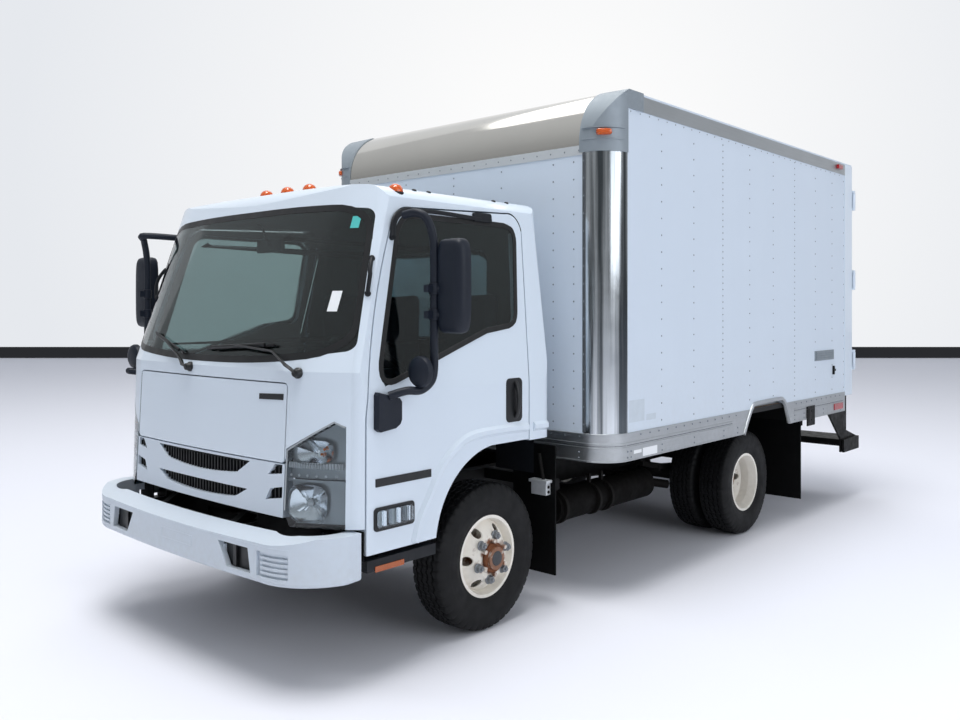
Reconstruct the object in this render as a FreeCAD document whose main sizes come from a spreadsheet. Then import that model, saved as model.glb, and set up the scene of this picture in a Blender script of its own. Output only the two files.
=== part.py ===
import FreeCAD, Part
import math
import os
import re
import Sketcher

# A light cab-over box truck: a tilting three-seat cab, a ladder frame with twin rear
# wheels, and a sheet-sided cargo box with a rounded bright front.
# Millimetres. +X is the truck's left, +Y runs to the rear, +Z is up. The origin lies on the
# ground under the middle of the truck's overall length.
# Sizes that end in _ahead or _behind are measured from the front axle.

SIZES = {
    # whole vehicle
    "wheelbase": 2769, "front_overhang": 1268, "rear_overhang": 1925,
    "front_track": 1669, "rear_track": 1642, "dual_spacing": 245,
    "tyre_radius": 381, "tyre_width": 214, "bead_radius": 203, "lip_radius": 222,
    "rim_width": 174, "rim_wall": 7, "well_depth": 14, "sidewall_bulge": 12, "tread_crown": 9,
    # wheel disc and hub
    "disc_wall": 9, "disc_offset": 116, "disc_flat_radius": 108, "disc_knee": 26, "disc_seat": 30,
    "hand_hole_radius": 24, "hand_hole_ring": 148, "hand_holes": 6,
    "lug_ring": 86, "lug_radius": 11, "lug_height": 26, "lugs": 6,
    "hub_radius": 58, "hub_nose": 34, "rear_hub_radius": 66, "rear_hub_nose": 92,
    "drum_radius": 165, "drum_width": 95, "drum_gap": 14, "disc_brake_width": 22,
    # clearances
    "run_gap": 0.3, "shaft_gap": 0.05, "seat_gap": 0.3, "panel_gap": 8, "hinge_gap": 6,
    "overrun": 40,
    # ladder frame
    "frame_width": 852, "rail_height": 190, "rail_flange": 70, "rail_wall": 9,
    "frame_top": 712, "cross_front": 760, "cross_one": 980, "cross_two": 1700, "cross_three": 2480,
    "cross_four": 3130, "frame_front_ahead": 1065, "frame_rear_behind": 4300,
    "cross_height": 120, "cross_depth": 60,
    # front axle and steering
    "kingpin_half": 725, "kingpin_radius": 19, "eye_radius": 40, "eye_height": 96,
    "beam_depth": 66, "beam_height": 74, "beam_drop": 62, "beam_wall": 12, "beam_bend_half": 560,
    "ear_height": 30, "ear_radius": 46, "spindle_radius": 30, "yoke_wall": 22,
    "arm_length": 168, "arm_width": 30, "arm_height": 22,
    "tie_rod_radius": 13, "tie_pin_radius": 9, "tie_end_height": 38, "tie_end_radius": 21,
    # rear axle and springs
    "axle_tube_radius": 56, "diff_radius": 168, "diff_width": 210, "rear_spindle_radius": 38,
    "spring_width": 70, "spring_thick": 34, "front_spring_half": 385, "rear_spring_half": 505,
    "front_spring_length": 1180, "rear_spring_length": 1260, "spring_camber": 88,
    "spring_end_share": 0.5, "spring_leaf_share": 0.27, "spring_leaf_rise_share": 0.28,
    "spring_pad_share": 0.05,
    # drive line, exhaust and tank
    "engine_width": 560, "engine_length": 820, "engine_height": 520, "engine_bottom": 372,
    "engine_front_ahead": 400, "gearbox_length": 560, "gearbox_radius": 150, "shaft_height": 520,
    "shaft_radius": 42, "muffler_radius": 105, "muffler_length": 1100,
    "muffler_half": 590, "muffler_height": 430, "muffler_front_behind": 940,
    "pipe_radius": 30, "pipe_bend": 70, "lead_height": 470, "lead_turn_behind": 600, "strap_front_share": 0.2, "strap_rear_share": 0.75,
    "tank_width": 640, "tank_length": 760, "tank_height": 300, "tank_front_behind": 3240,
    "tank_bottom": 402, "tank_round": 50,
    # cab, seen in plan
    "cab_half": 1005, "cab_roof_half": 896, "cab_height": 2272,
    "cab_low": 500, "cab_front_ahead": 1137, "cab_glass_base_ahead": 1090, "cab_brow_ahead": 770,
    "cab_back_behind": 440, "cab_wall": 46, "cab_floor_sheet": 40, "cab_bottom": 700,
    "glass_base": 1386, "roof_round": 90, "roof_eave": 2192, "roof_eave_out": 10,
    "roof_fall": 22, "brow_ahead": 801, "brow_height": 2188, "brow_middle_ahead": 762,
    "brow_middle_height": 2246, "brow_end_ahead": 660,
    "shoulder_half": 690, "corner_half": 962, "corner_bow": 14, "quarter_radius": 70,
    "low_shoulder_back": 24, "low_corner_back": 180, "low_side_back": 258,
    "belt_shoulder_back": 22, "belt_corner_back": 142, "belt_side_back": 190,
    "brow_shoulder_back": 12, "brow_corner_back": 68, "brow_side_back": 122,
    # cab floor and front
    "footwell_floor": 790, "riser_floor": 1010, "riser_ahead": 430, "riser_lean": 60,
    "quarter_bottom": 966, "firewall_ahead": 985, "firewall_wall": 22,
    "hinge_ahead": 1120, "hinge_height": 640, "hinge_half": 320, "hinge_lug_width": 44,
    "hinge_lug_radius": 32, "hinge_tube": 20,
    # side door
    "door_front_ahead": 905, "door_bow_ahead": 838, "door_bow_height": 1590,
    "door_turn_ahead": 640, "door_turn_height": 2122, "door_rear_turn_behind": 250,
    "door_rear_turn_height": 2150, "door_bottom": 572, "door_post_height": 1180,
    "door_top": 2150, "door_top_rise": 30, "door_crown_ahead": 684, "door_crown_height": 2052,
    "door_crown_back_ahead": 578, "door_top_rear_behind": 150, "door_rear_behind": 280,
    "door_rear_height": 2060, "door_waist_behind": 242, "door_waist_height": 1287,
    "arch_top": 966, "arch_rear_ahead": 60, "arch_mid_ahead": 322, "arch_mid_height": 846,
    "arch_front_ahead": 459,
    "window_front_ahead": 815, "window_sill": 1372, "window_nose_ahead": 785,
    "window_nose_height": 1318, "window_top": 2112, "window_top_ahead": 600,
    "window_rear_behind": 216, "window_rear_top": 2050, "window_low_behind": 172,
    "window_low_height": 1625, "window_step_behind": 90, "window_step_height": 1572,
    "window_dip_ahead": 20, "window_turn": 44, "window_turn_height": 90, "glass_thick": 7,
    # windscreen and rear window
    "screen_low_half": 954, "screen_low": 1476, "screen_sill": 1408, "screen_high_half": 886,
    "screen_high": 2134, "screen_head": 2168, "screen_round": 46,
    "rear_window_half": 560, "rear_window_low": 1480, "rear_window_high": 2010,
    "rear_window_round": 60,
    # front lid, grille and lamps
    "lid_half": 671, "lid_low": 970, "lid_high": 1334, "lid_round": 26,
    "grille_half": 672, "grille_low": 733,
    "liner_sheet": 6, "liner_inner": 640, "liner_outer": 946, "liner_back_low": 760,
    "lamp_inner": 677, "lamp_outer": 945, "lamp_low": 700, "lamp_split": 905,
    "lamp_inner_top": 1040, "lamp_outer_top": 1172, "lamp_heel": 712, "lamp_heel_height": 770,
    "lamp_brow": 800, "lamp_brow_height": 1112,
    # bumper
    "bumper_half": 1012, "bumper_end_ahead": 928, "bumper_low": 478, "bumper_crease": 646,
    "bumper_back_height": 688, "bumper_lip_ahead": 1135, "bumper_shoulder_half": 690,
    "bumper_shoulder_back": 22, "bumper_corner_half": 936, "bumper_corner_back": 122,
    "bumper_depth": 100, "bumper_wall": 26, "bumper_side_back": 262, "bumper_tuck": 8,
    "tow_inner": 400, "tow_outer": 640, "blank_inner": 682, "blank_outer": 856,
    "recess_low": 512, "recess_high": 620, "recess_deep": 14, "bumper_round": 20, "bumper_arm_width": 40,
    "bumper_arm_low": 540, "bumper_arm_high": 600,
    # cargo box
    "box_half": 1219, "box_front_behind": 687, "box_rear_behind": 4456, "box_floor": 960,
    "box_wall": 44, "box_low": 797, "box_corner": 180, "box_nose": 335, "box_eave": 2919,
    "box_crown": 2952, "floor_board": 36,
    "rail_proud": 4, "rail_sheet": 26, "top_rail_low": 2815, "top_rail_high": 2905,
    "cap_width": 205, "cap_low": 2560, "cap_rear_behind": 1032, "cap_proud": 6,
    "sill_width": 60, "joist_depth": 50, "joists": 9,
    "wheel_cut_front_behind": 2347, "wheel_cut_rear_behind": 3140, "wheel_cut_top": 998,
    "wheel_cut_slope": 135, "wheel_cut_round": 60, "tyre_clear_inner": 560,
    # rear frame and doors
    "portal_depth": 170, "portal_side": 84, "portal_head": 112, "portal_low": 926,
    "portal_sill": 60, "rear_door_wall": 40, "rear_hinge_out": 14,
    "rear_hinge_back": 18,
    "rear_hinge_radius": 9, "rear_hinge_height": 130, "rear_hinge_ear": 20,
    "rear_hinge_reach": 106, "strap_lap": 120, "strap_wall": 8, "lock_bar_radius": 13,
    "lock_bar_half": 180, "hinge_low_share": 0.12, "hinge_middle_share": 0.47,
    "hinge_high_share": 0.82,
    # rear step
    "step_half": 1200, "step_top": 540, "step_low": 430, "step_front_behind": 4330,
    "step_plate": 8, "step_gusset": 16, "step_gusset_front_behind": 4035,
    "step_gusset_flare": 610,
    # mudflaps
    "flap_wall": 10, "front_flap_behind": 520, "front_flap_low": 172, "front_flap_high": 900,
    "front_flap_inner": 660, "front_flap_outer": 965, "rear_flap_behind": 3475,
    "rear_flap_low": 160, "rear_flap_high": 800, "rear_flap_inner": 560,
    "rear_flap_outer": 1165,
    # mirrors
    "mirror_half": 1205, "mirror_width": 176, "mirror_height": 430, "mirror_depth": 78,
    "mirror_low": 1555, "mirror_ahead": 560, "mirror_round": 30, "mirror_tube": 13, "mirror_bend": 50,
    "mirror_right_lead": 210,
    "mirror_tube_out": 1130, "mirror_tube_ahead": 640, "mirror_arm_high": 2060,
    "mirror_arm_low": 1330, "spot_radius": 62, "spot_height": 1400, "bracket_width": 62,
    "bracket_low": 1190, "bracket_ahead": 785, "bracket_out": 34,
    # cab interior
    "dash_top": 1390, "dash_low": 1020, "dash_rear_ahead": 610, "dash_lip_height": 1250,
    "seat_width": 500, "seat_half": 560, "bench_half": 260, "bench_width": 960,
    "dash_half": 930, "seat_top": 1210, "seat_front_ahead": 330,
    "seat_depth": 500, "seat_back_wall": 120, "seat_back_top": 1790, "seat_round": 40,
    "steer_half": 520, "steer_height": 1400, "steer_drop": 52, "steer_spokes": 4,
    "steer_ahead": 470, "steer_ring": 205,
    "steer_grip": 15, "steer_lean": 34, "column_radius": 28, "column_length": 190,
    # small pieces
    "roof_lamp_radius": 42, "roof_lamp_ahead": 590,
    "roof_lamp_pitch": 193, "roof_lamp_outer": 855, "cab_step_width": 110,
    "cab_step_low": 505, "cab_step_high": 556, "cab_step_front_ahead": 895,
    "cab_step_rear_ahead": 470, "cab_step_arm_ahead": 700,
    "box_lamp_long": 90, "box_lamp_high": 34, "box_lamp_out": 22, "lamp_out_rear": 24,
    "tail_lamp_low": 970, "tail_lamp_high": 1130,
}

PLACES = {
    "front_axle": "front_overhang - (front_overhang + wheelbase + rear_overhang) / 2",
    "rear_axle": "front_axle + wheelbase",
    "vehicle_rear": "rear_axle + rear_overhang",
    "front_wheel_half": "front_track / 2",
    "rear_wheel_half": "rear_track / 2",
    "frame_rear": "front_axle + frame_rear_behind",
    "frame_low": "frame_top - rail_height",
    "hinge_line": "front_axle - hinge_ahead",
    "box_front": "front_axle + box_front_behind",
    "box_rear": "front_axle + box_rear_behind",
    "portal_front": "box_rear - portal_depth",
    "post_rear": "box_front + box_corner",
    "cap_rear": "front_axle + cap_rear_behind",
    "rear_hinge_half": "box_half + rear_hinge_out",
    "rear_hinge_line": "box_rear + rear_hinge_back",
    "front_spring_seat": "tyre_radius - beam_drop + beam_height / 2",
    "rear_spring_seat": "tyre_radius + axle_tube_radius",
}

# Outlines of the grille's slots: how far across half the grille, and how far up its height.
SLOT_SHARES = {
    "upper": [(-0.625, 0.954), (-0.48, 0.696), (0, 0.612), (0.48, 0.696), (0.625, 0.954)],
    "lower": [(-0.607, 0.405), (-0.47, 0.215), (0, 0.143), (0.47, 0.215), (0.607, 0.405)],
    "side_high": [(0.832, 0.768), (0.975, 0.815), (0.975, 0.985), (0.9, 0.985)],
    "side_low": [(0.812, 0.283), (0.985, 0.363), (0.985, 0.574), (0.86, 0.51)],
}
# The bumper's recesses for the towing eyes: how far along each recess, and how far up it.
TOW_RECESS_SHARES = [(0, 1), (0.92, 1), (1, 0), (0.28, 0)]

NODES = []
X_AXIS = FreeCAD.Vector(1, 0, 0)
Y_AXIS = FreeCAD.Vector(0, 1, 0)
Z_AXIS = FreeCAD.Vector(0, 0, 1)
ORIGIN = FreeCAD.Vector(0, 0, 0)
FULL_TURN = 360

doc = FreeCAD.newDocument("BoxTruck")


def fill_sheet(name, cells):
    """Writes named cells down column A of a new spreadsheet."""
    sheet = doc.addObject("Spreadsheet::Sheet", name)
    for row, (alias, content) in enumerate(cells.items(), start=1):
        sheet.set("A%d" % row, content)
        sheet.setAlias("A%d" % row, alias)
    doc.recompute()
    return sheet


def with_sheet(text):
    """Puts the sheet's name before every alias in an expression."""
    def found(match):
        word = match.group(0)
        if word in SIZES:
            return "Sizes." + word
        if word in PLACES:
            return "Places." + word
        return word
    return re.sub(r"[a-z][a-z_]*", found, text)


class Values:
    """Reads a size or a place by its alias."""

    def __getattr__(self, alias):
        sheet = sizes if alias in SIZES else places
        return float(sheet.get(alias))


sizes = fill_sheet("Sizes", {alias: str(number) for alias, number in SIZES.items()})
places = fill_sheet("Places", {alias: "=" + with_sheet(text) for alias, text in PLACES.items()})
v = Values()


def bind(thing, prop, text):
    """Binds one property to an expression of aliases."""
    thing.setExpression(prop, with_sheet(text))


def place(thing, at):
    """Binds a thing's position to three expressions."""
    for axis, text in zip("xyz", at):
        bind(thing, "Placement.Base." + axis, text)


def block(name, corner, size):
    """A box from its lowest corner and its size along X, Y and Z."""
    thing = doc.addObject("Part::Box", name)
    for prop, text in zip(("Length", "Width", "Height"), size):
        bind(thing, prop, text)
    place(thing, corner)
    return thing


def rod(name, along, start, length, radius):
    """A round bar that starts at a point and runs along one axis."""
    thing = doc.addObject("Part::Cylinder", name)
    bind(thing, "Radius", radius)
    bind(thing, "Height", length)
    turns = {"x": FreeCAD.Rotation(Z_AXIS, X_AXIS), "y": FreeCAD.Rotation(Z_AXIS, Y_AXIS),
             "z": FreeCAD.Rotation()}
    thing.Placement.Rotation = turns[along]
    place(thing, start)
    return thing


def fuse(name, things):
    """Joins several things into one."""
    joined = doc.addObject("Part::MultiFuse", name)
    joined.Shapes = things
    joined.Refine = True
    return joined


def cut(name, base, tool):
    """Cuts one thing out of another."""
    result = doc.addObject("Part::Cut", name)
    result.Base = base
    result.Tool = tool
    result.Refine = True
    return result


def mirror(name, thing):
    """The same thing on the truck's other side."""
    other = doc.addObject("Part::Mirroring", name)
    other.Source = thing
    other.Normal = X_AXIS
    other.Base = ORIGIN
    return other


def both(name, thing):
    """A left piece and its right twin, which don't touch."""
    pair = doc.addObject("Part::Compound", name)
    pair.Links = [thing, mirror(name + "_twin", thing)]
    return pair


def rounded(name, thing, radius, picks):
    """Rounds the edges of a thing that a test picks."""
    doc.recompute()
    result = doc.addObject("Part::Fillet", name)
    result.Base = thing
    chosen = [n for n, edge in enumerate(thing.Shape.Edges, start=1) if picks(edge)]
    result.Edges = [(n, radius, radius) for n in chosen]
    return result


def body(name, plane, points, offset="0"):
    """A body with one closed sketch whose corners follow expressions."""
    thing = doc.addObject("PartDesign::Body", name)
    sketch = thing.newObject("Sketcher::SketchObject", name + "_sketch")
    base = [f for f in thing.Origin.OriginFeatures if f.Role == plane + "_Plane"][0]
    sketch.AttachmentSupport = [(base, "")]
    sketch.MapMode = "FlatFace"
    bind(sketch, "AttachmentOffset.Base.z", offset)
    count = len(points)
    # a first guess well apart, before the constraints take over
    for n in range(count):
        a = FULL_TURN * n / count
        b = FULL_TURN * (n + 1) / count
        start = FreeCAD.Vector(math.cos(math.radians(a)), math.sin(math.radians(a)), 0)
        end = FreeCAD.Vector(math.cos(math.radians(b)), math.sin(math.radians(b)), 0)
        sketch.addGeometry(Part.LineSegment(start * v.box_half, end * v.box_half), False)
    for n in range(count):
        sketch.addConstraint(Sketcher.Constraint("Coincident", n, 2, (n + 1) % count, 1))
    for n, (across, up) in enumerate(points):
        for kind, text in (("DistanceX", across), ("DistanceY", up)):
            made = sketch.addConstraint(Sketcher.Constraint(kind, -1, 1, n, 1, 1.0 + n))
            bind(sketch, "Constraints[%d]" % made, text)
    return thing, sketch


def pad(name, plane, points, length, offset="0"):
    """A body made by padding a closed outline."""
    thing, sketch = body(name, plane, points, offset)
    feature = thing.newObject("PartDesign::Pad", name + "_pad")
    feature.Profile = sketch
    bind(feature, "Length", length)
    return thing


def turned(name, points):
    """A body made by turning an outline of (along X, radius) about the X axis."""
    thing, sketch = body(name, "XY", points)
    feature = thing.newObject("PartDesign::Revolution", name + "_turn")
    feature.Profile = sketch
    feature.ReferenceAxis = (sketch, ["H_Axis"])
    feature.Angle = FULL_TURN
    return thing


def node(name, thing):
    """Names a finished sub-part."""
    thing.Label = name
    NODES.append(thing)
    return thing


def shaped(name, shape):
    """A finished sub-part whose shape is worked out here."""
    thing = doc.addObject("Part::Feature", name + "_shape")
    thing.Shape = shape
    return node(name, thing)


def yz(behind, height, across=0.0):
    """A point from its distance behind the front axle and its height."""
    return FreeCAD.Vector(across, v.front_axle + behind, height)


def cab_plan(height, half, ahead, shoulder_back, corner_back, side_back, inset):
    """The cab's outline from above at one height, drawn in by the inset."""
    front = v.front_axle - ahead + inset
    back = v.front_axle + v.cab_back_behind - inset
    side = half - inset
    shoulder = half * v.shoulder_half / v.cab_half
    corner = half * v.corner_half / v.cab_half - inset
    bow = v.corner_bow
    edges = []
    for hand in (1, -1):
        def at(x, y):
            return FreeCAD.Vector(hand * x, y, height)
        corner_middle = at((shoulder + corner) / 2 + bow / 2,
                           front + (shoulder_back + corner_back) / 2 - bow)
        edge_middle = at((corner + side) / 2 + bow / 2,
                         front + (corner_back + side_back) / 2 - bow / 2)
        turn = v.quarter_radius * (1 - math.sqrt(1 / 2))
        half_edges = [
            Part.Arc(at(shoulder, front + shoulder_back), corner_middle,
                     at(corner, front + corner_back)).toShape(),
            Part.Arc(at(corner, front + corner_back), edge_middle,
                     at(side, front + side_back)).toShape(),
            Part.makeLine(at(side, front + side_back), at(side, back - v.quarter_radius)),
            Part.Arc(at(side, back - v.quarter_radius), at(side - turn, back - turn),
                     at(side - v.quarter_radius, back)).toShape(),
        ]
        edges.append(half_edges)
    left, right = edges
    nose = Part.Arc(FreeCAD.Vector(-shoulder, front + shoulder_back, height),
                    FreeCAD.Vector(0, front, height),
                    FreeCAD.Vector(shoulder, front + shoulder_back, height)).toShape()
    tail = Part.makeLine(FreeCAD.Vector(side - v.quarter_radius, back, height),
                         FreeCAD.Vector(v.quarter_radius - side, back, height))
    return Part.Wire([nose] + left + [tail] + right[::-1])


def prism_x(points, low, high):
    """A solid from an outline in the YZ plane between two distances from the middle."""
    return points.translated(X_AXIS * low).extrude(X_AXIS * (high - low))


def prism_y(points, low, high):
    """A solid from an outline in the XZ plane between two places along the truck."""
    return points.translated(Y_AXIS * low).extrude(Y_AXIS * (high - low))


def outline(start, steps):
    """A face from a start point and steps: a point ends a line, a pair ends an arc."""
    edges = []
    here = start
    for step in steps:
        if isinstance(step, tuple):
            middle, there = step
            edges.append(Part.Arc(here, middle, there).toShape())
        else:
            there = step
            edges.append(Part.makeLine(here, there))
        here = there
    if not here.isEqual(start, v.shaft_gap):
        edges.append(Part.makeLine(here, start))
    return Part.Face(Part.Wire(edges))


def room(x, y, z):
    """A plain box between pairs of low and high limits."""
    size = [high - low for low, high in (x, y, z)]
    return Part.makeBox(*size, FreeCAD.Vector(x[0], y[0], z[0]))


def cab_solid(inset):
    """The cab's whole outer form, drawn in on every side by the inset."""
    levels = [
        cab_plan(v.cab_low, v.cab_half, v.cab_front_ahead, v.low_shoulder_back,
                 v.low_corner_back, v.low_side_back, inset),
        cab_plan(v.glass_base, v.cab_half, v.cab_glass_base_ahead, v.belt_shoulder_back,
                 v.belt_corner_back, v.belt_side_back, inset),
        cab_plan(v.cab_height, v.cab_roof_half, v.cab_brow_ahead, v.brow_shoulder_back,
                 v.brow_corner_back, v.brow_side_back, inset),
    ]
    form = Part.makeLoft(levels, True, True)
    # the roof seen from the front: sides that turn in to a crowned top
    low = v.cab_low - v.overrun
    eave = v.cab_roof_half + v.roof_eave_out - inset
    shoulder = v.cab_roof_half - v.roof_round - inset / 2
    top = v.cab_height - v.roof_fall - inset
    turn = v.roof_round * (1 - math.sqrt(1 / 2))
    roof = []
    for hand in (1, -1):
        roof.append([FreeCAD.Vector(hand * (v.cab_half + v.roof_round), 0, low),
                     FreeCAD.Vector(hand * eave, 0, v.roof_eave - inset),
                     FreeCAD.Vector(hand * (eave - turn), 0, top - turn),
                     FreeCAD.Vector(hand * shoulder, 0, top)])
    left, right = roof
    crown = FreeCAD.Vector(0, 0, v.cab_height - inset)
    across = outline(left[0], [left[1], (left[2], left[3]), (crown, right[3]),
                               (right[2], right[1]), right[0]])
    form = form.common(prism_y(across, v.front_axle - v.front_overhang,
                               v.front_axle + v.cab_back_behind + v.overrun))
    # the roof seen from the side: a brow, a level top and a round back
    brow = yz(-v.brow_ahead + inset, v.brow_height - inset)
    brow_end = yz(-v.brow_end_ahead + inset, v.cab_height - inset)
    brow_middle = yz(-v.brow_middle_ahead + inset, v.brow_middle_height - inset)
    back = v.cab_back_behind - inset
    round_start = yz(back - v.roof_round, v.cab_height - inset)
    round_middle = yz(back - turn, v.cab_height - inset - turn)
    round_end = yz(back, v.cab_height - inset - v.roof_round)
    along = outline(yz(-v.front_overhang - v.wheelbase / 4, low),
                    [brow, (brow_middle, brow_end), round_start,
                     (round_middle, round_end), yz(back, low)])
    return form.common(prism_x(along, -v.box_half, v.box_half)).removeSplitter()


def door_outline(across):
    """The side door's outline, which arches over the wheel."""
    return outline(yz(-v.door_front_ahead, v.door_bottom, across), [
        yz(-v.door_front_ahead, v.door_post_height, across),
        (yz(-v.door_bow_ahead, v.door_bow_height, across),
         yz(-v.door_crown_ahead, v.door_crown_height, across)),
        (yz(-v.door_turn_ahead, v.door_turn_height, across),
         yz(-v.door_crown_back_ahead, v.door_top, across)),
        yz(v.door_top_rear_behind, v.door_top + v.door_top_rise, across),
        (yz(v.door_rear_turn_behind, v.door_rear_turn_height, across),
         yz(v.door_rear_behind, v.door_rear_height, across)),
        yz(v.door_waist_behind, v.door_waist_height, across),
        yz(v.door_waist_behind, v.arch_top, across),
        yz(-v.arch_rear_ahead, v.arch_top, across),
        (yz(-v.arch_mid_ahead, v.arch_mid_height, across),
         yz(-v.arch_front_ahead, v.door_bottom, across)),
    ])


def window_outline(across):
    """The door window's outline, with a sill that drops towards the front."""
    return outline(yz(-v.window_front_ahead, v.window_sill, across), [
        yz(-v.window_top_ahead - v.window_turn, v.window_top - v.window_turn_height, across),
        (yz(-v.window_top_ahead, v.window_top - v.window_turn / 2, across),
         yz(-v.window_top_ahead + v.window_turn, v.window_top, across)),
        yz(v.window_rear_behind - v.window_turn, v.window_top, across),
        (yz(v.window_rear_behind - v.window_turn / 4, v.window_top - v.window_turn / 4, across),
         yz(v.window_rear_behind, v.window_rear_top, across)),
        yz(v.window_low_behind, v.window_low_height, across),
        (yz(v.window_low_behind - v.window_turn / 2, v.window_step_height + v.window_turn / 4,
            across),
         yz(v.window_step_behind, v.window_step_height, across)),
        yz(-v.window_dip_ahead, v.window_step_height, across),
        yz(-v.window_nose_ahead, v.window_nose_height, across),
    ])


def screen_outline():
    """The windscreen's outline from the front."""
    def at(x, z):
        return FreeCAD.Vector(x, 0, z)
    r = v.screen_round
    t = r * (1 - math.sqrt(1 / 2))
    low, high = v.screen_low_half, v.screen_high_half
    return outline(at(-low, v.screen_low + r), [
        at(-high - r * (low - high) / (v.screen_high - v.screen_low), v.screen_high - r),
        (at(-high + t, v.screen_high - t), at(-high + r, v.screen_high)),
        (at(0, v.screen_head), at(high - r, v.screen_high)),
        (at(high - t, v.screen_high - t),
         at(high + r * (low - high) / (v.screen_high - v.screen_low), v.screen_high - r)),
        at(low, v.screen_low + r),
        (at(low - t, v.screen_low + t), at(low - r, v.screen_low)),
        (at(0, v.screen_sill), at(r - low, v.screen_low)),
        (at(t - low, v.screen_low + t), at(-low, v.screen_low + r)),
    ])


def box_outline(half, low, high, radius):
    """A box seen from the front, with round corners."""
    def at(x, z):
        return FreeCAD.Vector(x, 0, z)
    t = radius * (1 - math.sqrt(1 / 2))
    return outline(at(-half, low + radius), [
        at(-half, high - radius),
        (at(t - half, high - t), at(radius - half, high)),
        at(half - radius, high),
        (at(half - t, high - t), at(half, high - radius)),
        at(half, low + radius),
        (at(half - t, low + t), at(half - radius, low)),
        at(radius - half, low),
        (at(t - half, low + t), at(-half, low + radius)),
    ])


def lamp_outline(hand):
    """A headlamp's outline from the front."""
    def at(x, z):
        return FreeCAD.Vector(hand * x, 0, z)
    return outline(at(v.lamp_inner, v.lamp_heel_height), [
        at(v.lamp_inner, v.lamp_inner_top),
        (at(v.lamp_brow, v.lamp_brow_height), at(v.lamp_outer - v.screen_round, v.lamp_outer_top)),
        at(v.lamp_outer, v.lamp_outer_top - v.screen_round / 2),
        at(v.lamp_outer, v.lamp_low),
        at(v.lamp_heel, v.lamp_low),
    ])


def lamp_place(hand):
    """The room that a headlamp fills, from the front of the cab to the firewall."""
    return prism_y(lamp_outline(hand), v.front_axle - v.front_overhang,
                   v.front_axle - v.door_front_ahead)


def slot_outline(name, hand):
    """One opening of the grille, from the front."""
    high = v.lid_low - v.grille_low
    corners = [FreeCAD.Vector(hand * v.grille_half * across, 0, v.grille_low + high * up)
               for across, up in SLOT_SHARES[name]]
    if len(corners) > 4:
        return outline(corners[0], [corners[1], (corners[2], corners[3]), corners[4]])
    return outline(corners[0], corners[1:])


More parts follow.
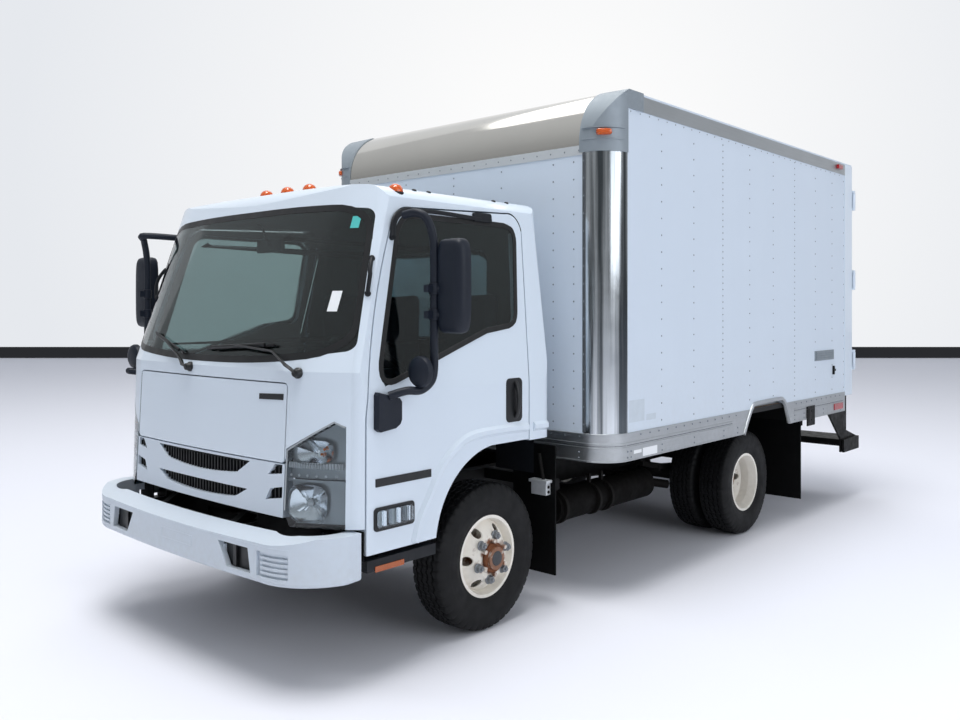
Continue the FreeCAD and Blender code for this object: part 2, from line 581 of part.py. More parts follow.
def cab():
    """The cab shell with its doors, glass, lid, grille and headlamps."""
    outer = cab_solid(0)
    inner = cab_solid(v.cab_wall)
    skin = outer.cut(inner)
    front = v.front_axle - v.front_overhang
    back = v.front_axle + v.cab_back_behind
    wide = (-v.box_half, v.box_half)
    doors = {}
    doorways = []
    for hand in (1, -1):
        reach = (v.cab_half * 2 / 3, v.box_half)
        if hand < 0:
            reach = (-reach[1], -reach[0])
        opening = prism_x(door_outline(0), *reach)
        leaf = prism_x(door_outline(0).makeOffset2D(-v.panel_gap), *reach)
        window = prism_x(window_outline(0), *reach)
        door = skin.common(leaf)
        pane = outer.cut(cab_solid(v.glass_thick)).common(leaf).common(window)
        doors[hand] = (door.cut(window), pane)
        skin = skin.cut(opening)
        doorways.append(opening)
    # openings in the front and the back
    screen = prism_y(screen_outline(), front, v.front_axle - v.door_crown_back_ahead)
    rear_glass = prism_y(box_outline(v.rear_window_half, v.rear_window_low, v.rear_window_high,
                                     v.rear_window_round), back - v.box_corner, back + v.overrun)
    lid_box = box_outline(v.lid_half, v.lid_low, v.lid_high, v.lid_round)
    lid_depth = v.front_axle - v.firewall_ahead - v.seat_gap
    lid_hole = prism_y(lid_box, front, lid_depth)
    grille_room = room((-v.grille_half, v.grille_half), (front, lid_depth),
                       (v.grille_low, v.lid_low))
    glass = outer.cut(cab_solid(v.glass_thick))
    screen_glass = glass.common(screen)
    rear_pane = glass.common(rear_glass)
    lid = skin.common(prism_y(lid_box.makeOffset2D(-v.hinge_gap), front, lid_depth))
    grille = skin.common(grille_room)
    for shares, hands in (("upper", (1,)), ("lower", (1,)), ("side_high", (1, -1)),
                          ("side_low", (1, -1))):
        for hand in hands:
            grille = grille.cut(prism_y(slot_outline(shares, hand), front, lid_depth))
    lamps = [skin.common(lamp_place(hand)) for hand in (1, -1)]
    below = room(wide, (front, back + v.overrun), (0, v.cab_bottom))
    behind_wheel = room(wide, (v.front_axle - v.riser_ahead, back + v.overrun),
                        (0, v.quarter_bottom))
    nose_low = room((-v.lamp_heel, v.lamp_heel), (front, lid_depth), (0, v.lamp_heel_height))
    between_lamps = room((-v.lamp_inner, v.lamp_inner), (front, lid_depth),
                         (v.grille_low, v.lid_low + v.lid_round))
    for tool in (screen, rear_glass, lid_hole, between_lamps, below, behind_wheel, nose_low,
                 lamp_place(1), lamp_place(-1)):
        skin = skin.cut(tool)
    # firewall, shelf over the lid's bay, and the stepped floor
    wall = room(wide, (v.front_axle - v.firewall_ahead,
                       v.front_axle - v.firewall_ahead + v.firewall_wall),
                (v.footwell_floor - v.cab_floor_sheet, v.glass_base - v.cab_floor_sheet))
    shelf = room(wide, (front, v.front_axle - v.firewall_ahead + v.firewall_wall),
                 (v.glass_base - v.cab_floor_sheet, v.glass_base - v.cab_floor_sheet / 2))
    lean = v.riser_lean
    sheet = v.cab_floor_sheet
    floor_back = v.cab_back_behind - v.cab_wall
    step = outline(yz(-v.firewall_ahead, v.footwell_floor), [
        yz(-v.riser_ahead - lean, v.footwell_floor),
        yz(-v.riser_ahead, v.riser_floor),
        yz(floor_back, v.riser_floor),
        yz(floor_back, v.riser_floor - sheet),
        yz(-v.riser_ahead + sheet / 2, v.riser_floor - sheet),
        yz(-v.riser_ahead - lean + sheet / 2, v.footwell_floor - sheet),
        yz(-v.firewall_ahead, v.footwell_floor - sheet),
    ])
    side = v.cab_half - v.cab_wall / 2
    plan = Part.Face(cab_plan(v.cab_low, v.cab_half, v.cab_front_ahead, v.low_shoulder_back,
                              v.low_corner_back, v.low_side_back, v.cab_wall / 2))
    floor = prism_x(step, -side, side).common(plan.extrude(Z_AXIS * v.cab_height))
    door_room = outer.cut(cab_solid(v.cab_wall + v.panel_gap))
    floor = floor.common(inner)
    for tool in [lamp_place(1), lamp_place(-1)] + [door_room.common(gap) for gap in doorways]:
        floor = floor.cut(tool)
    pan = floor.fuse([wall.common(inner), shelf.common(inner)])
    # lugs that turn on the hinge tube
    for hand in (1, -1):
        x = hand * v.hinge_half - v.hinge_lug_width / 2
        r = v.hinge_lug_radius
        eye = Part.makeCylinder(r, v.hinge_lug_width,
                                yz(-v.hinge_ahead, v.hinge_height, x), X_AXIS)
        web = outline(yz(-v.hinge_ahead, v.hinge_height + r, x), [
            yz(-v.firewall_ahead, v.footwell_floor - sheet, x),
            yz(-v.firewall_ahead + v.box_lamp_long, v.footwell_floor - sheet, x),
            yz(-v.hinge_ahead, v.hinge_height - r, x),
        ]).extrude(X_AXIS * v.hinge_lug_width)
        pan = pan.fuse([eye, web])
    bore = Part.makeCylinder(v.hinge_tube + v.run_gap, v.hinge_half * 4,
                             yz(-v.hinge_ahead, v.hinge_height, -v.hinge_half * 2), X_AXIS)
    shaped("cab_shell", skin.removeSplitter())
    shaped("cab_floor", pan.cut(bore).cut(skin).removeSplitter())
    shaped("cab_glass", Part.makeCompound([screen_glass, rear_pane]))
    shaped("grille", grille)
    shaped("headlamps", Part.makeCompound(lamps))
    shaped("front_lid", lid)
    for hand, side_name in ((1, "left"), (-1, "right")):
        door, pane = doors[hand]
        shaped("door_" + side_name, door)
        shaped("door_glass_" + side_name, pane)
    return outer, inner


def wheel_liners(inner):
    """Arched sheets over the front wheels, under the cab floor."""
    top = v.riser_floor - v.cab_floor_sheet
    sheet = v.liner_sheet
    def edge(drop):
        return [yz(-v.arch_front_ahead + drop, v.cab_low + v.liner_back_low - v.cab_bottom),
                yz(-v.arch_mid_ahead + drop, v.arch_mid_height - drop / 2),
                yz(-v.arch_rear_ahead, top - drop)]
    outer_low, outer_middle, outer_top = edge(0)
    inner_low, inner_middle, inner_top = edge(sheet)
    end = v.cab_back_behind - v.cab_wall
    face = outline(outer_low, [
        (outer_middle, outer_top), yz(end, top), yz(end, v.liner_back_low),
        yz(end - sheet, v.liner_back_low), yz(end - sheet, top - sheet),
        inner_top, (inner_middle, inner_low)])
    arch = prism_x(face, v.liner_inner, v.liner_outer).common(inner)
    shaped("wheel_liners", Part.makeCompound([arch, arch.mirror(ORIGIN, X_AXIS)]))


def bumper_plan(inset, depth_line):
    """The front bumper's outline from above, drawn in by the inset."""
    front = v.front_axle - v.front_overhang + inset
    end = v.front_axle - depth_line
    half = v.bumper_half - inset
    points = []
    for hand in (1, -1):
        def at(x, y):
            return FreeCAD.Vector(hand * x, y, 0)
        points.append([
            at(v.bumper_shoulder_half, front + v.bumper_shoulder_back),
            at(v.bumper_corner_half - inset / 2, front + v.bumper_corner_back - inset / 2),
            at(half, front + v.bumper_side_back),
            at(half - v.bumper_tuck, end)])
    left, right = points
    return outline(left[0], [(left[1], left[2]), left[3], right[3], right[2],
                             (right[1], right[0]), (FreeCAD.Vector(0, front, 0), left[0])])


def mouth_points(corners):
    """A closed outline's first corner and the rest."""
    return corners[0], corners[1:]


def front_bumper():
    """A moulded bumper, open at the back, on two arms from the frame."""
    front = v.front_axle - v.front_overhang
    body_form = bumper_plan(0, v.bumper_end_ahead).extrude(Z_AXIS * v.bumper_back_height * 2)
    side_view = outline(yz(-v.front_overhang - v.overrun, v.bumper_low), [
        yz(-v.front_overhang - v.overrun, v.bumper_crease),
        yz(-v.front_overhang, v.bumper_crease),
        yz(-v.bumper_lip_ahead, v.bumper_back_height),
        yz(-v.bumper_end_ahead + v.overrun, v.bumper_back_height),
        yz(-v.bumper_end_ahead + v.overrun, v.bumper_low)])
    form = body_form.common(prism_x(side_view, -v.box_half, v.box_half))
    ahead_of = v.front_axle - v.bumper_end_ahead - v.overrun
    low_edges = [edge for edge in form.Edges
                 if edge.BoundBox.ZMax < v.bumper_low + v.seat_gap
                 and edge.BoundBox.YMin < ahead_of]
    form = form.makeFillet(v.bumper_round, low_edges)
    wall = v.bumper_wall
    hollow = bumper_plan(wall, v.bumper_end_ahead - v.overrun)
    hollow = hollow.translated(Z_AXIS * (v.bumper_low + wall)).extrude(
        Z_AXIS * (v.bumper_crease - v.bumper_low - 2 * wall))
    well = bumper_plan(v.bumper_depth, v.bumper_end_ahead - v.overrun)
    well = well.extrude(Z_AXIS * v.bumper_back_height * 2)
    form = form.cut(hollow).cut(well)
    # two recesses for the towing eyes, two for the blank lamp covers, one for a plate
    for hand in (1, -1):
        for low, high in ((v.tow_inner, v.tow_outer), (v.blank_inner, v.blank_outer)):
            near, far = sorted((hand * low, hand * high))
            tall = v.recess_high - v.recess_low
            if low == v.tow_inner:
                mouth = outline(*mouth_points([
                    FreeCAD.Vector(hand * (low + (high - low) * across), 0,
                                   v.recess_low + tall * up)
                    for across, up in TOW_RECESS_SHARES]))
                form = form.cut(prism_y(mouth, front - v.overrun, front + v.bumper_depth))
            else:
                deep = front + v.recess_deep + v.bumper_corner_back / 2
                form = form.cut(room((near, far), (front - v.overrun, deep),
                                     (v.recess_low, v.recess_high)))
    arms = []
    for hand in (1, -1):
        near, far = sorted((hand * (v.frame_width / 2 - v.bumper_arm_width),
                            hand * v.frame_width / 2))
        arms.append(room((near, far), (front + wall, v.front_axle - v.frame_front_ahead),
                         (v.bumper_arm_low, v.bumper_arm_high)))
    return shaped("front_bumper", form.fuse(arms).removeSplitter())


def frame():
    """Two channel rails with crossmembers, spring hangers and the cab's hinge tube."""
    half = "frame_width / 2"
    flange = "(%s - rail_flange)" % half
    web = "(%s - rail_wall)" % half
    low, top = "frame_low", "frame_top"
    rail = pad("rail", "XZ", [
        (half, low), (half, top), (flange, top), (flange, "frame_top - rail_wall"),
        (web, "frame_top - rail_wall"), (web, "frame_low + rail_wall"),
        (flange, "frame_low + rail_wall"), (flange, low)],
        "frame_front_ahead + frame_rear_behind", "-frame_rear")
    parts = [rail, mirror("rail_twin", rail)]
    stations = ("-cross_front", "cross_one", "cross_two", "cross_three", "cross_four",
                "frame_rear_behind - cross_depth")
    for n, station in enumerate(stations):
        parts.append(block("cross_%d" % n,
                           ("-" + web, "front_axle + " + station,
                            "frame_top - rail_wall - cross_height"),
                           ("2 * " + web, "cross_depth", "cross_height")))
    parts.append(rod("hinge_tube", "x", ("-" + half, "hinge_line", "hinge_height"),
                     "frame_width", "hinge_tube"))
    horn = block("horn", (web, "hinge_line - hinge_tube", "hinge_height - hinge_lug_radius"),
                 ("rail_wall", "hinge_tube + hinge_ahead - frame_front_ahead + rail_wall",
                  "2 * hinge_lug_radius"))
    parts += [horn, mirror("horn_twin", horn)]
    for end in ("front", "rear"):
        inner = "(%s_spring_half - spring_width / 2)" % end
        outer = "(%s_spring_half + spring_width / 2)" % end
        if end == "front":
            bottom = "(front_spring_seat + spring_camber + spring_thick + seat_gap)"
            height = "frame_low - " + bottom
            near = inner
        else:
            bottom = "(rear_spring_seat + spring_camber + spring_thick + seat_gap)"
            height = "cross_height"
            near = web
        for n, side in enumerate(("-", "+")):
            hanger = block("%s_hanger_%d" % (end, n),
                           (near, "%s_axle %s %s_spring_length / 2 - cross_depth / 2"
                            % (end, side, end), bottom),
                           ("%s - %s" % (outer, near), "cross_depth", height))
            parts += [hanger, mirror("%s_hanger_%d_twin" % (end, n), hanger)]
    for side in ("left", "right"):
        x = flange if side == "left" else "-" + half
        parts.append(block("step_hanger_" + side, (x, "frame_rear", "step_low"),
                           ("rail_flange", "step_front_behind - frame_rear_behind",
                            "frame_top - step_low")))
    return node("frame_rails", fuse("frame_rails_body", parts))


def springs():
    """Four leaf springs, thickest at the axle."""
    pieces = []
    for end in ("front", "rear"):
        seat = end + "_spring_seat"
        length = end + "_spring_length"
        line = end + "_axle"
        low = [("%s %s %s * %s" % (line, sign, length, share),
                "%s + spring_camber * %s" % (seat, rise))
               for sign, share, rise in (("-", "spring_end_share", "1"),
                                         ("-", "spring_leaf_share", "spring_leaf_rise_share"),
                                         ("-", "spring_pad_share", "0"),
                                         ("+", "spring_pad_share", "0"),
                                         ("+", "spring_leaf_share", "spring_leaf_rise_share"),
                                         ("+", "spring_end_share", "1"))]
        high = [(y, z + " + spring_thick") for y, z in reversed(low)]
        leaf = pad(end + "_leaf", "YZ", low + high, "spring_width",
                   end + "_spring_half - spring_width / 2")
        pieces += [leaf, mirror(end + "_leaf_twin", leaf)]
    group = doc.addObject("Part::Compound", "leaf_springs_group")
    group.Links = pieces
    return node("leaf_springs", group)


def front_axle():
    """A dropped beam with an upright eye at each end."""
    beam_low = "(tyre_radius - beam_drop - beam_height / 2)"
    beam_top = "(tyre_radius - beam_drop + beam_height / 2)"
    bend = "beam_bend_half"
    end = "(kingpin_half - eye_radius / 2)"
    beam = pad("beam", "XZ", [
        ("-" + end, "tyre_radius - beam_height / 2"), ("-" + end, "tyre_radius + beam_height / 2"),
        ("-" + bend, beam_top), (bend, beam_top),
        (end, "tyre_radius + beam_height / 2"), (end, "tyre_radius - beam_height / 2"),
        (bend, beam_low), ("-" + bend, beam_low)],
        "beam_depth", "-(front_axle + beam_depth / 2)")
    pocket = pad("beam_pocket", "XZ", [
        ("-" + bend, beam_low + " + beam_wall"), ("-" + bend, beam_top + " - beam_wall"),
        (bend, beam_top + " - beam_wall"), (bend, beam_low + " + beam_wall")],
        "beam_depth / 2 - beam_wall / 2", "-(front_axle + beam_depth / 2 + overrun) + overrun")
    rear_pocket = pad("beam_rear_pocket", "XZ", [
        ("-" + bend, beam_low + " + beam_wall"), ("-" + bend, beam_top + " - beam_wall"),
        (bend, beam_top + " - beam_wall"), (bend, beam_low + " + beam_wall")],
        "beam_depth / 2 - beam_wall / 2", "-(front_axle - beam_wall / 2)")
    solid = cut("beam_lightened", cut("beam_half_lightened", beam, pocket), rear_pocket)
    eye = rod("eye", "z", ("kingpin_half", "front_axle", "tyre_radius - eye_height / 2"),
              "eye_height", "eye_radius")
    bore = rod("eye_bore", "z", ("kingpin_half", "front_axle", "tyre_radius - eye_height"),
               "2 * eye_height", "kingpin_radius + shaft_gap")
    joined = fuse("beam_with_eyes", [solid, eye, mirror("eye_twin", eye)])
    bored = cut("beam_bored", joined, bore)
    return node("front_axle", cut("front_axle_body", bored, mirror("bore_twin", bore)))


def knuckle():
    """A steering knuckle: pin, two ears, a yoke, the wheel's spindle and a steering arm."""
    low = "(tyre_radius - eye_height / 2 - run_gap - ear_height)"
    high = "(tyre_radius + eye_height / 2 + run_gap)"
    full = "(eye_height + 2 * run_gap + 2 * ear_height)"
    parts = [rod("kingpin", "z", ("kingpin_half", "front_axle", low), full, "kingpin_radius")]
    for name, start in (("low", low), ("high", high)):
        parts.append(rod("ear_" + name, "z", ("kingpin_half", "front_axle", start),
                         "ear_height", "ear_radius"))
        parts.append(block("ear_block_" + name,
                           ("kingpin_half", "front_axle - ear_radius", start),
                           ("ear_radius + hinge_gap + yoke_wall", "2 * ear_radius",
                            "ear_height")))
    parts.append(block("yoke", ("kingpin_half + ear_radius + hinge_gap",
                                "front_axle - ear_radius", low),
                       ("yoke_wall", "2 * ear_radius", full)))
    parts.append(rod("spindle", "x", ("kingpin_half + ear_radius + hinge_gap", "front_axle",
                                      "tyre_radius"),
                     "front_wheel_half + disc_offset - kingpin_half - ear_radius - hinge_gap",
                     "spindle_radius"))
    parts.append(block("arm", ("kingpin_half - arm_width / 2", "front_axle",
                               "%s - arm_height" % low),
                       ("arm_width", "arm_length + arm_width / 2", "arm_height")))
    arm_root = rod("arm_root", "z", ("kingpin_half", "front_axle", "%s - arm_height" % low),
                   "arm_height", "arm_width / 2")
    parts.append(arm_root)
    solid = fuse("knuckle_left_body", parts)
    hole = rod("arm_hole", "z", ("kingpin_half", "front_axle + arm_length",
                                 "%s - 2 * arm_height" % low),
               "3 * arm_height", "tie_pin_radius + shaft_gap")
    left = node("knuckle_left", cut("knuckle_left_bored", solid, hole))
    right = node("knuckle_right", mirror("knuckle_right_body", left))
    return left, right


def tie_rod():
    """A bar across the truck that links the two steering arms."""
    arm_low = "(tyre_radius - eye_height / 2 - run_gap - ear_height - arm_height)"
    eye_low = "(%s - run_gap - tie_end_height)" % arm_low
    line = "(front_axle + arm_length)"
    middle = eye_low + " + tie_end_height / 2"
    bar = rod("tie_bar", "x", ("-kingpin_half", line, middle), "2 * kingpin_half",
              "tie_rod_radius")
    end = rod("tie_end", "z", ("kingpin_half", line, eye_low), "tie_end_height",
              "tie_end_radius")
    pin = rod("tie_pin", "z", ("kingpin_half", line, middle),
              "tie_end_height / 2 + run_gap + arm_height", "tie_pin_radius")
    far_end = mirror("tie_end_twin", end)
    far_pin = mirror("tie_pin_twin", pin)
    return node("tie_rod", fuse("tie_rod_body", [bar, end, pin, far_end, far_pin]))


def rear_axle():
    """The live rear axle: tubes, a banjo middle and the hub spindles."""
    half = "rear_wheel_half"
    tube_half = "(rear_wheel_half - drum_width - drum_gap - yoke_wall)"
    parts = [
        rod("axle_tube", "x", ("-" + tube_half, "rear_axle", "tyre_radius"),
            "2 * " + tube_half, "axle_tube_radius"),
        rod("banjo", "y", ("0", "rear_axle - diff_width / 2", "tyre_radius"),
            "diff_width", "diff_radius"),
        rod("pinion_nose", "y", ("0", "rear_axle - diff_width", "tyre_radius"),
            "diff_width", "2 * shaft_radius"),
        rod("rear_spindles", "x", ("-(%s + rear_hub_nose / 2)" % half, "rear_axle",
                                   "tyre_radius"),
            "2 * (%s + rear_hub_nose / 2)" % half, "rear_spindle_radius"),
    ]
    return node("rear_axle", fuse("rear_axle_body", parts))


def tyre_profile(shift):
    """A tyre's section as (along the axle, radius) pairs about a shifted middle."""
    w = "tyre_width / 2"
    r = "tyre_radius"
    bead_half = "(rim_width / 2 - rim_wall)"
    rows = [
        (bead_half, "bead_radius + run_gap"),
        (bead_half, "lip_radius + rim_wall"),
        ("%s - sidewall_bulge / 2" % w, "lip_radius + 3 * sidewall_bulge"),
        (w, "(lip_radius + tyre_radius) / 2 + sidewall_bulge"),
        ("%s - sidewall_bulge / 2" % w, r + " - 3 * tread_crown"),
        ("%s - 2 * sidewall_bulge" % w, r + " - tread_crown / 3"),
        ("0", r),
    ]
    right = [("%s + %s" % (shift, x), y) for x, y in rows]
    left = [("%s - (%s)" % (shift, x), y) for x, y in reversed(rows[:-1])]
    return right + left


def rim_profile(shift):
    """A rim barrel's section about a shifted middle: two lips and a well."""
    half = "rim_width / 2"
    wall = "rim_wall"
    bead = "bead_radius"
    rows = [
        (half, "lip_radius"), (half, bead + " - rim_wall"),
        ("rim_width / 6", "bead_radius - rim_wall - well_depth"),
    ]
    inner = [("%s + %s" % (shift, x), y) for x, y in rows]
    inner += [("%s - (%s)" % (shift, x), y) for x, y in reversed(rows)]
    outer_rows = [
        ("%s - %s" % (half, wall), "lip_radius"), ("%s - %s" % (half, wall), bead),
        ("rim_width / 6 + rim_wall", bead), ("rim_width / 6", bead + " - well_depth"),
    ]
    outer = [("%s - (%s)" % (shift, x), y) for x, y in outer_rows]
    outer += [("%s + %s" % (shift, x), y) for x, y in reversed(outer_rows)]
    return inner + outer


def drilled(name, thing, radius, ring, count, start, depth):
    """Cuts a ring of round holes along the X axis."""
    for n in range(count):
        turn = FULL_TURN * n / count
        y = "%s * cos(%r deg)" % (ring, turn) if turn else ring
        z = "%s * sin(%r deg)" % (ring, turn) if turn else "0"
        hole = rod("%s_hole_%d" % (name, n), "x", (start, y, z), depth, radius)
        thing = cut("%s_holed_%d" % (name, n), thing, hole)
    return thing


def studs(name, ring, count, start, length, radius):
    """A ring of lug nuts along the X axis."""
    made = []
    for n in range(count):
        turn = FULL_TURN * (n + 1 / 2) / count
        made.append(rod("%s_lug_%d" % (name, n), "x",
                        (start, "%s * cos(%r deg)" % (ring, turn),
                         "%s * sin(%r deg)" % (ring, turn)), length, radius))
    return made


def disc_profile(offset, reach, hand):
    """A dished disc from the hub's flat out to the barrel, as (along, radius) pairs."""
    s = "" if hand > 0 else "-"
    wall = "disc_wall"
    return [
        ("%s" % offset, "spindle_radius + run_gap"),
        ("%s" % offset, "disc_flat_radius"),
        ("%s - (%s%s)" % (offset, s, "disc_knee"), "disc_flat_radius + disc_knee"),
        (reach, "bead_radius - rim_wall - well_depth + disc_wall"),
        ("%s - (%s%s)" % (reach, s, wall), "bead_radius - rim_wall - well_depth + disc_wall"),
        ("%s - (%s(disc_knee + disc_wall))" % (offset, s), "disc_flat_radius + disc_knee"),
        ("%s - (%s%s)" % (offset, s, wall), "disc_flat_radius"),
        ("%s - (%s%s)" % (offset, s, wall), "spindle_radius + run_gap"),
    ]


def set_wheel(name, thing, line):
    """Puts a wheel piece built about the X axis on its axle."""
    mover = doc.addObject("Part::Compound", name + "_placed")
    mover.Links = [thing]
    bind(mover, "Placement.Base.y", line)
    bind(mover, "Placement.Base.z", "tyre_radius")
    return mover


def front_wheels():
    """Single front wheels, with the disc bulging outwards, a hub and a brake disc."""
    shift = "front_wheel_half"
    tyre = turned("front_tyre", tyre_profile(shift))
    barrel = turned("front_barrel", rim_profile(shift))
    face = "(front_wheel_half + disc_offset)"
    disc = turned("front_disc", disc_profile(face, "front_wheel_half + disc_seat", 1))
    disc = drilled("front", disc, "hand_hole_radius", "hand_hole_ring", int(v.hand_holes),
                   "front_wheel_half", "tyre_width")
    hub_back = "(kingpin_half + ear_radius + hinge_gap + yoke_wall + hinge_gap)"
    hub = rod("front_hub", "x", (hub_back, "0", "0"),
              "%s + hub_nose - %s" % (face, hub_back), "hub_radius")
    rotor = rod("front_rotor", "x", (hub_back, "0", "0"), "disc_brake_width", "drum_radius")
    lugs = studs("front", "lug_ring", int(v.lugs), face + " - disc_wall", "lug_height + disc_wall",
                 "lug_radius")
    bore = rod("front_hub_bore", "x", (hub_back + " - overrun", "0", "0"),
               "%s - %s + overrun + run_gap" % (face, hub_back), "spindle_radius + run_gap")
    joined = fuse("front_wheel_parts", [barrel, disc, hub, rotor] + lugs)
    wheel = cut("front_wheel_bored", joined, bore)
    return tyre, wheel


def rear_wheels():
    """Twin rear wheels bolted back to back, with a drum and a long hub."""
    outer = "(rear_wheel_half + dual_spacing / 2)"
    inner = "(rear_wheel_half - dual_spacing / 2)"
    tyres = doc.addObject("Part::Compound", "rear_tyre_pair")
    tyres.Links = [turned("rear_tyre_outer", tyre_profile(outer)),
                   turned("rear_tyre_inner", tyre_profile(inner))]
    parts = [turned("rear_barrel_outer", rim_profile(outer)),
             turned("rear_barrel_inner", rim_profile(inner))]
    for name, hand in (("outer", -1), ("inner", 1)):
        middle = outer if hand < 0 else inner
        sign = "-" if hand < 0 else "+"
        reach = "%s %s disc_seat" % (middle, sign)
        disc = turned("rear_disc_" + name, disc_profile("rear_wheel_half", reach, hand))
        start = "rear_wheel_half" if hand < 0 else "rear_wheel_half - tyre_width"
        parts.append(drilled("rear_" + name, disc, "hand_hole_radius", "hand_hole_ring",
                             int(v.hand_holes), start + " - disc_wall / 2", "tyre_width"))
    back = "(rear_wheel_half - drum_width - drum_gap)"
    parts.append(rod("rear_drum", "x", (back, "0", "0"), "drum_width", "drum_radius"))
    parts.append(rod("rear_hub", "x", (back, "0", "0"),
                     "drum_width + drum_gap + rear_hub_nose", "rear_hub_radius"))
    parts += studs("rear", "lug_ring", int(v.lugs), "rear_wheel_half", "disc_wall + lug_height",
                   "lug_radius")
    joined = fuse("rear_wheel_parts", parts)
    bore = rod("rear_hub_bore", "x", (back + " - overrun", "0", "0"),
               "overrun + drum_width + drum_gap + rear_hub_nose / 2 + run_gap",
               "rear_spindle_radius + run_gap")
    wheel = cut("rear_wheel_bored", joined, bore)
    return tyres, wheel


def wheels():
    """All wheels, each as a tyre and a rim."""
    for end, pair in (("front", front_wheels()), ("rear", rear_wheels())):
        for name, thing in zip(("tyre", "rim"), pair):
            left = node("%s_%s_left" % (name, end),
                        set_wheel("%s_%s" % (name, end), thing, end + "_axle"))
            node("%s_%s_right" % (name, end),
                 mirror("%s_%s_right_body" % (name, end), left))


def drive_line():
    """Engine and gearbox as plain blocks, the propeller shaft and the fuel tank."""
    web = "(frame_width / 2 - rail_wall)"
    engine = block("engine_block", ("-engine_width / 2", "front_axle - engine_front_ahead",
                                    "engine_bottom"),
                   ("engine_width", "engine_length", "engine_height"))
    box_end = "(front_axle - engine_front_ahead + engine_length)"
    gearbox = rod("gearbox", "y", ("0", box_end, "shaft_height"), "gearbox_length",
                  "gearbox_radius")
    mount = block("engine_mount", ("-" + web, "front_axle - cross_depth",
                                   "frame_low + cross_depth"),
                  ("2 * " + web, "cross_depth", "cross_depth"))
    node("engine", fuse("engine_body", [engine, gearbox, mount]))
    start = FreeCAD.Vector(0, v.front_axle - v.engine_front_ahead + v.engine_length
                           + v.gearbox_length, v.shaft_height)
    end = FreeCAD.Vector(0, v.rear_axle - v.diff_width, v.tyre_radius)
    run = end.sub(start)
    unit = FreeCAD.Vector(run).normalize()
    tube = Part.makeCylinder(v.shaft_radius, run.Length, start, unit)
    collars = [Part.makeCylinder(v.shaft_radius * 4 / 3, v.cross_depth, start, Y_AXIS),
               Part.makeCylinder(v.shaft_radius * 4 / 3, v.cross_depth,
                                 end.sub(Y_AXIS * v.cross_depth), Y_AXIS)]
    keep = room((-v.gearbox_radius, v.gearbox_radius), (start.y, end.y), (0, v.frame_top))
    shaped("propshaft", tube.fuse(collars).common(keep).removeSplitter())
    tank = block("tank", ("-tank_width / 2", "front_axle + tank_front_behind", "tank_bottom"),
                 ("tank_width", "tank_length", "tank_height"))
    soft = rounded("tank_rounded", tank, v.tank_round,
                   lambda edge: abs(edge.Vertexes[0].Y - edge.Vertexes[-1].Y) > v.tank_round)
    straps = [block("tank_strap_%d" % n,
                    ("-" + web, "front_axle + tank_front_behind + tank_length * %s" % share,
                     "frame_low + cross_depth"), ("2 * " + web, "cross_depth", "rail_wall"))
              for n, share in enumerate(("strap_front_share", "strap_rear_share"))]
    node("fuel_tank", fuse("fuel_tank_body", [soft] + straps))


def pipe(points, radius, bend):
    """A round bar that runs through points with a smooth bend at each turn."""
    edges = []
    here = points[0]
    for before, corner, after in zip(points, points[1:], points[2:]):
        come = FreeCAD.Vector(before.sub(corner)).normalize()
        leave = FreeCAD.Vector(after.sub(corner)).normalize()
        half_turn = come.getAngle(leave) / 2
        reach = bend / math.tan(half_turn)
        centre = corner + (come + leave).normalize() * (bend / math.sin(half_turn))
        middle = centre + (corner - centre).normalize() * bend
        edges.append(Part.makeLine(here, corner + come * reach))
        here = corner + leave * reach
        edges.append(Part.Arc(corner + come * reach, middle, here).toShape())
    edges.append(Part.makeLine(here, points[-1]))
    start = points[1].sub(points[0])
    ring = Part.Wire([Part.makeCircle(radius, points[0], start)])
    return Part.Wire(edges).makePipeShell([ring], True, True)


def exhaust():
    """A long muffler under the left side, with its pipes and hangers."""
    def at(x, behind, z):
        return FreeCAD.Vector(x, v.front_axle + behind, z)
    front = v.muffler_front_behind
    rear = front + v.muffler_length
    can = Part.makeCylinder(v.muffler_radius, v.muffler_length,
                            at(v.muffler_half, front, v.muffler_height), Y_AXIS)
    lead = pipe([at(v.engine_width / 2 - v.pipe_radius, v.cross_depth, v.lead_height),
                 at(v.muffler_half, v.lead_turn_behind, v.lead_height),
                 at(v.muffler_half, v.box_front_behind, v.muffler_height),
                 at(v.muffler_half, front + v.overrun, v.muffler_height)], v.pipe_radius,
                v.pipe_bend)
    tail = pipe([at(v.muffler_half, rear - v.overrun, v.muffler_height),
                 at(v.muffler_half, rear + v.overrun, v.muffler_height),
                 at(v.muffler_half + v.muffler_radius, rear + v.box_corner,
                    v.muffler_height - v.pipe_radius)], v.pipe_radius, v.pipe_bend)
    solid = can.fuse([lead, tail])
    for share in (v.strap_front_share, v.strap_rear_share):
        y = v.front_axle + front + v.muffler_length * share
        solid = solid.fuse(room((v.frame_width / 2, v.muffler_half), (y, y + v.cross_depth),
                                (v.muffler_height + v.muffler_radius * 2 / 3,
                                 v.muffler_height + v.muffler_radius - v.rail_wall)))
    engine_keep = room((-v.engine_width / 2, v.engine_width / 2),
                       (v.front_axle - v.front_overhang, v.front_axle + v.wheelbase / 2),
                       (0, v.frame_top))
    return shaped("exhaust", solid.cut(engine_keep).removeSplitter())


def box_plan(out, rear):
    """The cargo box's outline from above, with its round front corners."""
    half = v.box_half + out
    front = v.box_front - out
    r = v.box_corner + out
    t = r * (1 - math.sqrt(1 / 2))
    def at(x, y):
        return FreeCAD.Vector(x, y, 0)
    return outline(at(-half, rear), [
        at(-half, front + r), (at(t - half, front + t), at(r - half, front)),
        at(half - r, front), (at(half - t, front + t), at(half, front + r)), at(half, rear)])


